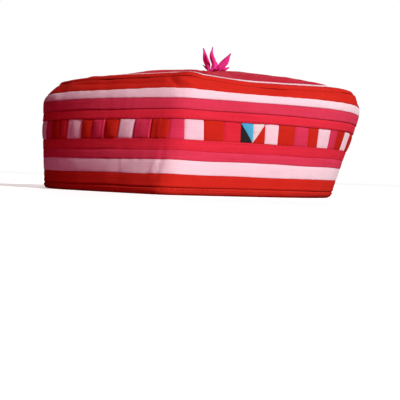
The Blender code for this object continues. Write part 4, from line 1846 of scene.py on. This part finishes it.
@dataclass(frozen=True)
class Tuft:
    """The tuft: a gathered button and folded petals of the same cloth."""

    node: str = "tuft"
    radius: float = 4.2 * MM
    half_height: float = 1.9 * MM
    clearance: float = 0.2 * MM
    foot: float = 3.2 * MM
    curl: float = 0.09
    fold: float = 0.40
    spiral: float = 40.0
    sway: float = 0.26
    neck: float = 0.44
    belly_end: float = 0.88
    rows: int = 18
    sides: int = 14
    start: float = 0.06
    tip_power: float = 4.5
    least_half: float = 0.30 * MM
    flatness: float = 0.85
    thickness_mm: Pair = (0.90, 0.42)
    ripple: float = 0.25 * MM
    ripples: float = 5.0
    spiral_middle: float = 0.4
    shade_fade: float = 0.20
    tip_start: float = 0.80
    tip_shade: float = 0.50
    foot_end: float = 0.22
    foot_shade: float = 0.3
    button_rows: int = 16
    button_columns: int = 42
    pole: float = 0.12
    pleats: float = 7.0
    pleat_depth: float = 0.07
    pleat_shade: float = 0.5
    petals: tuple[Petal, ...] = (
        Petal(282.0, 76.0, 15.0 * MM, 3.8 * MM, 78.0),
        Petal(356.0, 85.0, 15.1 * MM, 3.6 * MM, 10.0),
        Petal(80.0, 55.0, 14.0 * MM, 4.6 * MM, -78.0),
        Petal(118.0, 24.0, 8.5 * MM, 4.6 * MM, -38.0),
        Petal(176.0, 50.0, 9.5 * MM, 4.4 * MM, 30.0),
        Petal(226.0, 34.0, 8.4 * MM, 4.4 * MM, 34.0),
        Petal(30.0, 12.0, 7.5 * MM, 4.4 * MM, 15.0),
    )

    def petal_points(self, petal: Petal, base: Array) -> tuple[Array, Array, Array]:
        """Gives one petal's rings of points.

        Args:
            petal: The petal.
            base: Where it grows from.

        Returns:
            Its points, its cloth map's lengths, and how near each point is to the tip.
        """
        turn, rise = math.radians(petal.turn), math.radians(petal.rise)
        outwards = np.array((math.sin(turn), -math.cos(turn), 0.0))
        across = np.array((math.cos(turn), math.sin(turn), 0.0))
        along = outwards * math.cos(rise) + np.array((0.0, 0.0, math.sin(rise)))
        face = np.cross(across, along)
        up = np.linspace(self.start, 1.0, self.rows + 1)[:, None]
        angle = (np.arange(self.sides) / self.sides * 2 * np.pi)[None, :]
        belly = np.sin(np.pi * np.minimum(up / self.belly_end, 1.0))
        half = 0.5 * petal.width * mix(self.neck, 1.0, belly) * np.sqrt(1.0 - up**self.tip_power)
        half = np.maximum(half, self.least_half)
        side = np.sign(np.cos(angle)) * np.abs(np.cos(angle)) ** self.flatness * half
        thick = mix(*self.thickness_mm, up) * MM * np.sin(angle)
        lift = self.fold * np.abs(side) + petal.length * self.curl * np.sin(2.0 * np.pi * up)
        lift = lift + self.ripple * np.sin(self.ripples * up + petal.turn) * side / half
        turning = math.copysign(self.spiral, petal.twist) * (up - self.spiral_middle)
        lean = np.radians(petal.twist + turning)
        wide = side * np.cos(lean) - (lift - thick) * np.sin(lean)
        deep = side * np.sin(lean) + (lift - thick) * np.cos(lean)
        sway = petal.width * self.sway * np.sin(2.0 * np.pi * up) * np.sign(petal.twist)
        points = (
            base
            + outwards * self.foot
            + along * (petal.length * up + 0.0 * angle)[..., None]
            + across * (wide + sway)[..., None]
            - face * deep[..., None]
        )
        lengths = lengths_round(angle / (2 * np.pi) * 2 * petal.width, petal.length * up)
        return points, lengths, np.broadcast_to(up, points.shape[:2])

    def build(self, room: Workroom) -> Piece:
        """Builds and fits the tuft.

        Args:
            room: The workroom.

        Returns:
            The piece.
        """
        form = CrownForm(room.band)
        foot = form.under(np.zeros(1), np.full(1, form.hole))[0, 2] + form.thickness + self.clearance
        centre = np.array((form.centre_x, 0.0, foot + self.half_height))
        parts = [self.button(room, centre)]
        for number, petal in enumerate(self.petals):
            points, lengths, tip = self.petal_points(petal, centre)
            darker = np.clip((tip - self.tip_start) / self.shade_fade, 0.0, 1.0) * self.tip_shade
            darker = darker + np.clip((self.foot_end - tip) / self.shade_fade, 0.0, 1.0) * self.foot_shade
            part = ClothMesh(points, lengths, closed_rows=False).build(
                f"petal_{number}",
                [room.shop.material(Cloth.TUFT)],
                fields={SEAM_SHADE: darker, RAISED: 0.5 + 0.0 * tip},
            )
            close_ends(part)
            parts.append(part)
        return room.fit(joined("tuft_cloth", parts), Cloth.TUFT, self.node)

    def button(self, room: Workroom, centre: Array) -> Piece:
        """Builds the gathered button.

        Args:
            room: The workroom.
            centre: Its middle.

        Returns:
            The button's object.
        """
        steepest = 0.5 * np.pi - self.pole
        rise = np.linspace(-steepest, steepest, self.button_rows)[:, None]
        turn = (np.arange(self.button_columns) / self.button_columns * 2 * np.pi)[None, :]
        pleat = np.cos(self.pleats * turn)
        radius = self.radius * np.cos(rise) * (1.0 + self.pleat_depth * pleat * np.cos(rise))
        points = np.stack(
            (radius * np.sin(turn), -radius * np.cos(turn), self.half_height * np.sin(rise) + 0.0 * turn), -1
        )
        lengths = lengths_round(turn * self.radius, rise * self.radius)
        groove = np.clip(-pleat, 0.0, 1.0) ** 2 * self.pleat_shade + 0.0 * rise
        button = ClothMesh(points + centre, lengths, closed_rows=False).build(
            "button", [room.shop.material(Cloth.TUFT)], fields={SEAM_SHADE: groove, RAISED: 1.0 - groove}
        )
        close_ends(button)
        return button


def joined(name: str, parts: Sequence[Piece]) -> Piece:
    """Joins parts of one cloth into one piece.

    Args:
        name: The piece's name.
        parts: Its parts.

    Returns:
        The piece.
    """
    piece, chosen = parts[0], list(parts)
    with bpy.context.temp_override(
        active_object=piece, object=piece, selected_objects=chosen, selected_editable_objects=chosen
    ):
        bpy.ops.object.join()
    piece.name = name
    piece.data.name = name
    return piece


@dataclass(frozen=True)
class StitchTree:
    """The Geometry Nodes tree that sews running stitches along a line."""

    name: str = "running_stitch"

    @cached_property
    def tree(self) -> bpy.types.NodeTree:
        """The tree, with named inputs."""
        floats = ("Spacing", "Stitch Length", "Thread Width", "Wander")
        tree, graph, given, result = node_group(
            self.name,
            "Geometry",
            {"Geometry": "Geometry", **dict.fromkeys(floats, "Float"), "Seed": "Int", "Thread": "Material"},
            {"Geometry": "Geometry"},
        )
        _, spacing, length, width, wander = list(given)[:5]
        line = graph.add("GeometryNodeMeshToCurve", {"Mesh": given["Geometry"]}).outputs[0]
        spaced = {"Curve": line, "Length": spacing}
        even = graph.add("GeometryNodeResampleCurve", spaced, mode="LENGTH").outputs[0]
        ball = {"Segments": 6, "Rings": 5, "Radius": 0.5}
        stitch = graph.add("GeometryNodeMeshUVSphere", ball).outputs["Mesh"]
        tangent = graph.add("GeometryNodeInputTangent").outputs[0]
        turned = graph.add("FunctionNodeAlignRotationToVector", {"Vector": tangent}, axis="Z").outputs[0]
        size = graph.add("ShaderNodeCombineXYZ", {0: width, 1: width, 2: length}).outputs[0]
        sewn = graph.add(
            "GeometryNodeInstanceOnPoints",
            {"Points": even, "Instance": stitch, "Rotation": turned, "Scale": size},
        ).outputs[0]
        low, high = (
            graph.add("ShaderNodeCombineXYZ", {0: swing, 1: swing, 2: 0.0}).outputs[0]
            for swing in (graph.sum("MULTIPLY", wander, -1.0), wander)
        )
        limits = {"Min": low, "Max": high, "Seed": given["Seed"]}
        swings = graph.add("FunctionNodeRandomValue", limits, data_type="FLOAT_VECTOR").outputs["Value"]
        loose = graph.add(
            "GeometryNodeRotateInstances",
            {"Instances": sewn, "Rotation": swings, "Local Space": True},
        ).outputs[0]
        real = graph.add("GeometryNodeRealizeInstances", {"Geometry": loose}).outputs[0]
        smooth = graph.add("GeometryNodeSetShadeSmooth", {"Geometry": real}).outputs[0]
        threaded = {"Geometry": smooth, "Material": given["Thread"]}
        graph.feed(result, {"Geometry": graph.add("GeometryNodeSetMaterial", threaded).outputs[0]})
        return tree


def grown(name: str, base: Piece, tree: bpy.types.NodeTree, values: dict[str, Any]) -> Piece:
    """Runs a Geometry Nodes tree on a base object and keeps its result as a plain mesh.

    Args:
        name: The piece's name.
        base: The object that the tree starts from, which is removed.
        tree: The tree.
        values: Values of its inputs, by name.

    Returns:
        The piece.
    """
    modifier = base.modifiers.new("Nodes", "NODES")
    modifier.node_group = tree
    for item in tree.interface.items_tree:
        if item.item_type == "SOCKET" and item.in_out == "INPUT" and item.name in values:
            modifier[item.identifier] = values[item.name]
    evaluated = base.evaluated_get(bpy.context.evaluated_depsgraph_get())
    mesh = bpy.data.meshes.new_from_object(evaluated)
    bpy.data.objects.remove(base)
    mesh.name = name
    map_by_place(mesh)
    return place_mesh(name, mesh)


def map_by_place(mesh: bpy.types.Mesh, lean: float = 0.7) -> None:
    """Gives a mesh of small parts a cloth map from its points' own places, y leaning on x by a share.

    Args:
        mesh: The mesh.
        lean: The share of y that is added to x.
    """
    cloth_map = mesh.uv_layers.new(name=CLOTH_MAP)
    places = np.zeros(len(mesh.vertices) * 3, np.float32)
    mesh.vertices.foreach_get("co", places)
    corners = np.zeros(len(mesh.loops), np.int32)
    mesh.loops.foreach_get("vertex_index", corners)
    places = places.reshape(-1, 3)[corners]
    flat = np.stack((places[:, 0] + lean * places[:, 1], places[:, 2]), -1)
    cloth_map.data.foreach_set("uv", flat.astype(np.float32).ravel())


@dataclass(frozen=True)
class StitchLine:
    """One line of stitches: its name, its thread, and how far apart and how long its stitches are."""

    name: str
    thread: Cloth
    spacing: float
    length: float


@dataclass(frozen=True)
class Stitching:
    """The lines of stitches that show."""

    hem: StitchLine = StitchLine("hem_stitches", Cloth.RED_THREAD, 3.0 * MM, 2.1 * MM)
    upper_fold: StitchLine = StitchLine("upper_fold_stitches", Cloth.ROSE_THREAD, 2.6 * MM, 1.3 * MM)
    lower_fold: StitchLine = StitchLine("lower_fold_stitches", Cloth.ROSE_THREAD, 2.6 * MM, 1.3 * MM)
    crown_edge: StitchLine = StitchLine("crown_edge_stitches", Cloth.DARK_THREAD, 3.0 * MM, 1.8 * MM)
    thread: float = 0.42 * MM
    wander: float = 0.09
    samples: int = 600
    proud: float = 0.12 * MM
    line_wander: float = 0.12 * MM
    upper_fold_place: Pair = (45.1 * MM, 0.28 * MM)
    lower_fold_place: Pair = (31.2 * MM, 0.12 * MM)
    crown_out: float = 0.833

    def line(self, name: str, points: Array) -> Piece:
        """Makes a bare line of edges that ends where it starts.

        Args:
            name: The line's name.
            points: Its points.

        Returns:
            The line's object.
        """
        count = len(points)
        mesh = bpy.data.meshes.new(name)
        mesh.from_pydata(points.tolist(), [(number, (number + 1) % count) for number in range(count)], [])
        return linked(name, mesh)

    def band_line(self, room: Workroom, rise: float, proud: float) -> Array:
        """Gives a line round the band.

        Args:
            room: The workroom.
            rise: How far up it runs.
            proud: How far it stands out of the relief.

        Returns:
            Its points.
        """
        whole, girth = room.band.girth, room.band.girths(self.samples)
        uneven = ClothNoise(81, 50, 9.0 * MM).at(girth / whole, 0 * girth)
        rises = np.full(girth.shape, rise) + self.line_wander * uneven
        out = BandRelief().at(girth, rises, whole) + proud
        return room.band.wall(room.band.around_at(girth), rises, -out)

    def hem_line(self, room: Workroom) -> Array:
        """Gives the hem's line, just proud of the binding.

        Args:
            room: The workroom.

        Returns:
            Its points.
        """
        girth, hem = room.band.girths(self.samples), HemBinding()
        rises = np.full(girth.shape, hem.stitch_rise)
        out = hem.relief_share * BandRelief().at(girth, rises, room.band.girth) + hem.puff + self.proud
        return room.band.wall(room.band.around_at(girth), rises, -out)

    def crown_line(self, room: Workroom) -> Array:
        """Gives the crown's line, on the panels just inside the pale strip.

        Args:
            room: The workroom.

        Returns:
            Its points.
        """
        form, around = CrownForm(room.band), np.arange(self.samples) / self.samples
        out, lift = (np.full(around.shape, value) for value in (self.crown_out, form.thickness + self.proud))
        return form.lifted(around, out, lift)

    def build(self, room: Workroom) -> list[Piece]:
        """Sews and fits every line.

        Args:
            room: The workroom.

        Returns:
            The pieces.
        """
        tree, pieces = StitchTree().tree, []
        lines = (
            (self.hem, self.hem_line(room)),
            (self.upper_fold, self.band_line(room, *self.upper_fold_place)),
            (self.lower_fold, self.band_line(room, *self.lower_fold_place)),
            (self.crown_edge, self.crown_line(room)),
        )
        for seed, (stitches, points) in enumerate(lines, 1):
            values = {
                "Spacing": stitches.spacing,
                "Stitch Length": stitches.length,
                "Thread Width": self.thread,
                "Wander": self.wander,
                "Seed": seed,
                "Thread": room.shop.material(stitches.thread),
            }
            base = self.line(stitches.name + "_line", points)
            pieces.append(room.fit(grown(stitches.name, base, tree, values), stitches.thread))
        return pieces


@dataclass(frozen=True)
class Studio:
    """The pale floor, the lights and the world."""

    floor_radius: float = 8.0
    floor_colour: tuple[float, float, float, float] = (0.97, 0.965, 0.96, 1.0)
    floor_bounce: tuple[float, float, float, float] = (0.22, 0.06, 0.08, 1.0)
    floor_glow: float = 0.38
    world_light: float = 0.015
    world_shown: float = 1.0
    key_strength: float = 3.7
    key_turn: float = math.radians(53.0)
    key_rise: float = math.radians(33.0)
    key_softness: float = math.radians(14.0)
    fill_power: float = 7.2
    fill_colour: Triple = (1.0, 0.14, 0.32)
    fill_place: Triple = (-0.22, -1.48, 0.25)
    back_power: float = 22.0
    back_colour: Triple = (1.0, 0.90, 0.88)
    back_place: Triple = (-0.2, 1.8, 0.5)
    fill_size: float = 1.0
    key_colour: Triple = (1.0, 0.985, 0.97)
    lit_place: Triple = (0.0, 0.0, 0.04)
    floor_sides: int = 96
    floor_shine: float = 0.1
    floor_roughness: Pair = (0.75, 0.85)
    grain_size: tuple[float] = (0.05,)
    grain_range: Pair = (0.3, 0.7)

    def build(self) -> None:
        """Builds the stage and the lights."""
        self.floor()
        self.world()
        flat = math.cos(self.key_rise)
        level = math.sin(self.key_turn) * flat, -math.cos(self.key_turn) * flat
        sun = bpy.data.lights.new("key_light", "SUN")
        sun.energy, sun.angle, sun.color = self.key_strength, self.key_softness, self.key_colour
        self.hang(sun, (*level, math.sin(self.key_rise)))
        self.panel("fill_light", self.fill_power, self.fill_colour, self.fill_place)
        self.panel("back_light", self.back_power, self.back_colour, self.back_place)

    def panel(self, name: str, power: float, colour: Triple, place: Triple) -> None:
        """Hangs a soft square light.

        Args:
            name: The light's name.
            power: Its power in watts.
            colour: Its colour.
            place: Where it hangs.
        """
        lamp = bpy.data.lights.new(name, "AREA")
        lamp.energy, lamp.size, lamp.color = power, self.fill_size, colour
        self.hang(lamp, place)

    def hang(self, lamp: bpy.types.Light, place: Sequence[float]) -> None:
        """Hangs a light facing the cap.

        Args:
            lamp: The light.
            place: Where it hangs.
        """
        holder = linked(lamp.name, lamp)
        holder.location = place
        holder.visible_camera = False
        holder.rotation_mode = "QUATERNION"
        holder.rotation_quaternion = (Vector(place) - Vector(self.lit_place)).to_track_quat("Z", "Y")

    def floor(self) -> Piece:
        """Builds the floor, with its own fine grain; it looks paler than the light that it throws back.

        Returns:
            The floor.
        """
        mesh = bpy.data.meshes.new("floor")
        disc = bmesh.new()
        bmesh.ops.create_circle(disc, cap_ends=True, segments=self.floor_sides, radius=self.floor_radius)
        disc.to_mesh(mesh)
        disc.free()
        material, graph, shader = new_material("pale_floor")
        grain = graph.noise(graph.add("ShaderNodeTexCoord").outputs["Object"], self.grain_size, 4.0)
        colour = graph.blend(graph.spread(grain, *self.grain_range), self.floor_colour, WHITE)
        seen = graph.add("ShaderNodeLightPath").outputs["Is Camera Ray"]
        graph.feed(
            shader,
            {
                "Base Color": graph.blend(seen, self.floor_bounce, colour),
                "Roughness": graph.spread(grain, *self.grain_range, *self.floor_roughness),
                "Specular IOR Level": self.floor_shine,
                "Emission Color": graph.blend(seen, BLACK, WHITE),
                "Emission Strength": self.floor_glow,
            },
        )
        mesh.materials.append(material)
        return linked("floor", mesh)

    def world(self) -> None:
        """Sets a white surround that lights less than it shows."""
        world = bpy.data.worlds.new("white_surround")
        bpy.context.scene.world = world
        world.use_nodes = True
        graph = Graph(world.node_tree)
        seen = graph.add("ShaderNodeLightPath").outputs["Is Camera Ray"]
        strength = graph.spread(seen, 0.0, 1.0, self.world_light, self.world_shown)
        graph.feed(world.node_tree.nodes["Background"], {"Color": WHITE, "Strength": strength})


@dataclass(frozen=True)
class PhotoCamera:
    """The camera: at the photograph's turn to the cap, close above the floor."""

    turn: float = math.radians(6.3)
    distance: float = 0.56
    height: float = 0.010
    roll: float = math.radians(2.0)
    pixels_per_metre: float = 1560.0
    aim: Triple = (0.0015, 0.0, 0.014)
    aim_pixel: Pair = (200.0, 171.0)
    frame: float = 400.0
    sensor: float = 36.0
    clip_start: float = 0.01

    def build(self) -> None:
        """Places the camera and makes it the scene's own."""
        aim = Vector(self.aim)
        back = Vector((math.sin(self.turn) * self.distance, -math.cos(self.turn) * self.distance, 0.0))
        back.z = self.height - aim.z
        camera = linked("photo_camera", bpy.data.cameras.new("photo_camera"))
        camera.location = aim + back
        camera.rotation_mode = "QUATERNION"
        level = back.to_track_quat("Z", "Y")
        camera.rotation_quaternion = Quaternion(back.normalized(), self.roll) @ level
        camera.data.sensor_width = self.sensor
        camera.data.lens = self.sensor * self.pixels_per_metre * self.distance / self.frame
        camera.data.shift_x = -(self.aim_pixel[0] - self.frame / 2) / self.frame
        camera.data.shift_y = (self.aim_pixel[1] - self.frame / 2) / self.frame
        camera.data.clip_start = self.clip_start
        bpy.context.scene.camera = camera


def main() -> None:
    """Builds the cap's pieces in order, then the stage and the camera."""
    logging.basicConfig(level=logging.INFO, format="%(name)s %(message)s")
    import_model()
    PhotoCamera().build()
    room = Workroom()
    lining = BandLining().build(room)
    hem = HemBinding().build(room)
    strips = [strip.build(room) for strip in STRIPS]
    row = PatchworkRow().build(room)
    Crown().build(room)
    Tuft().build(room)
    stitches = Stitching().build(room)
    room.band.girth
    Studio().build()
    bpy.context.scene.view_settings.view_transform = "Standard"
    LOG.info("%d pieces", len(room.pieces))


if __name__ == "__main__":
    main()
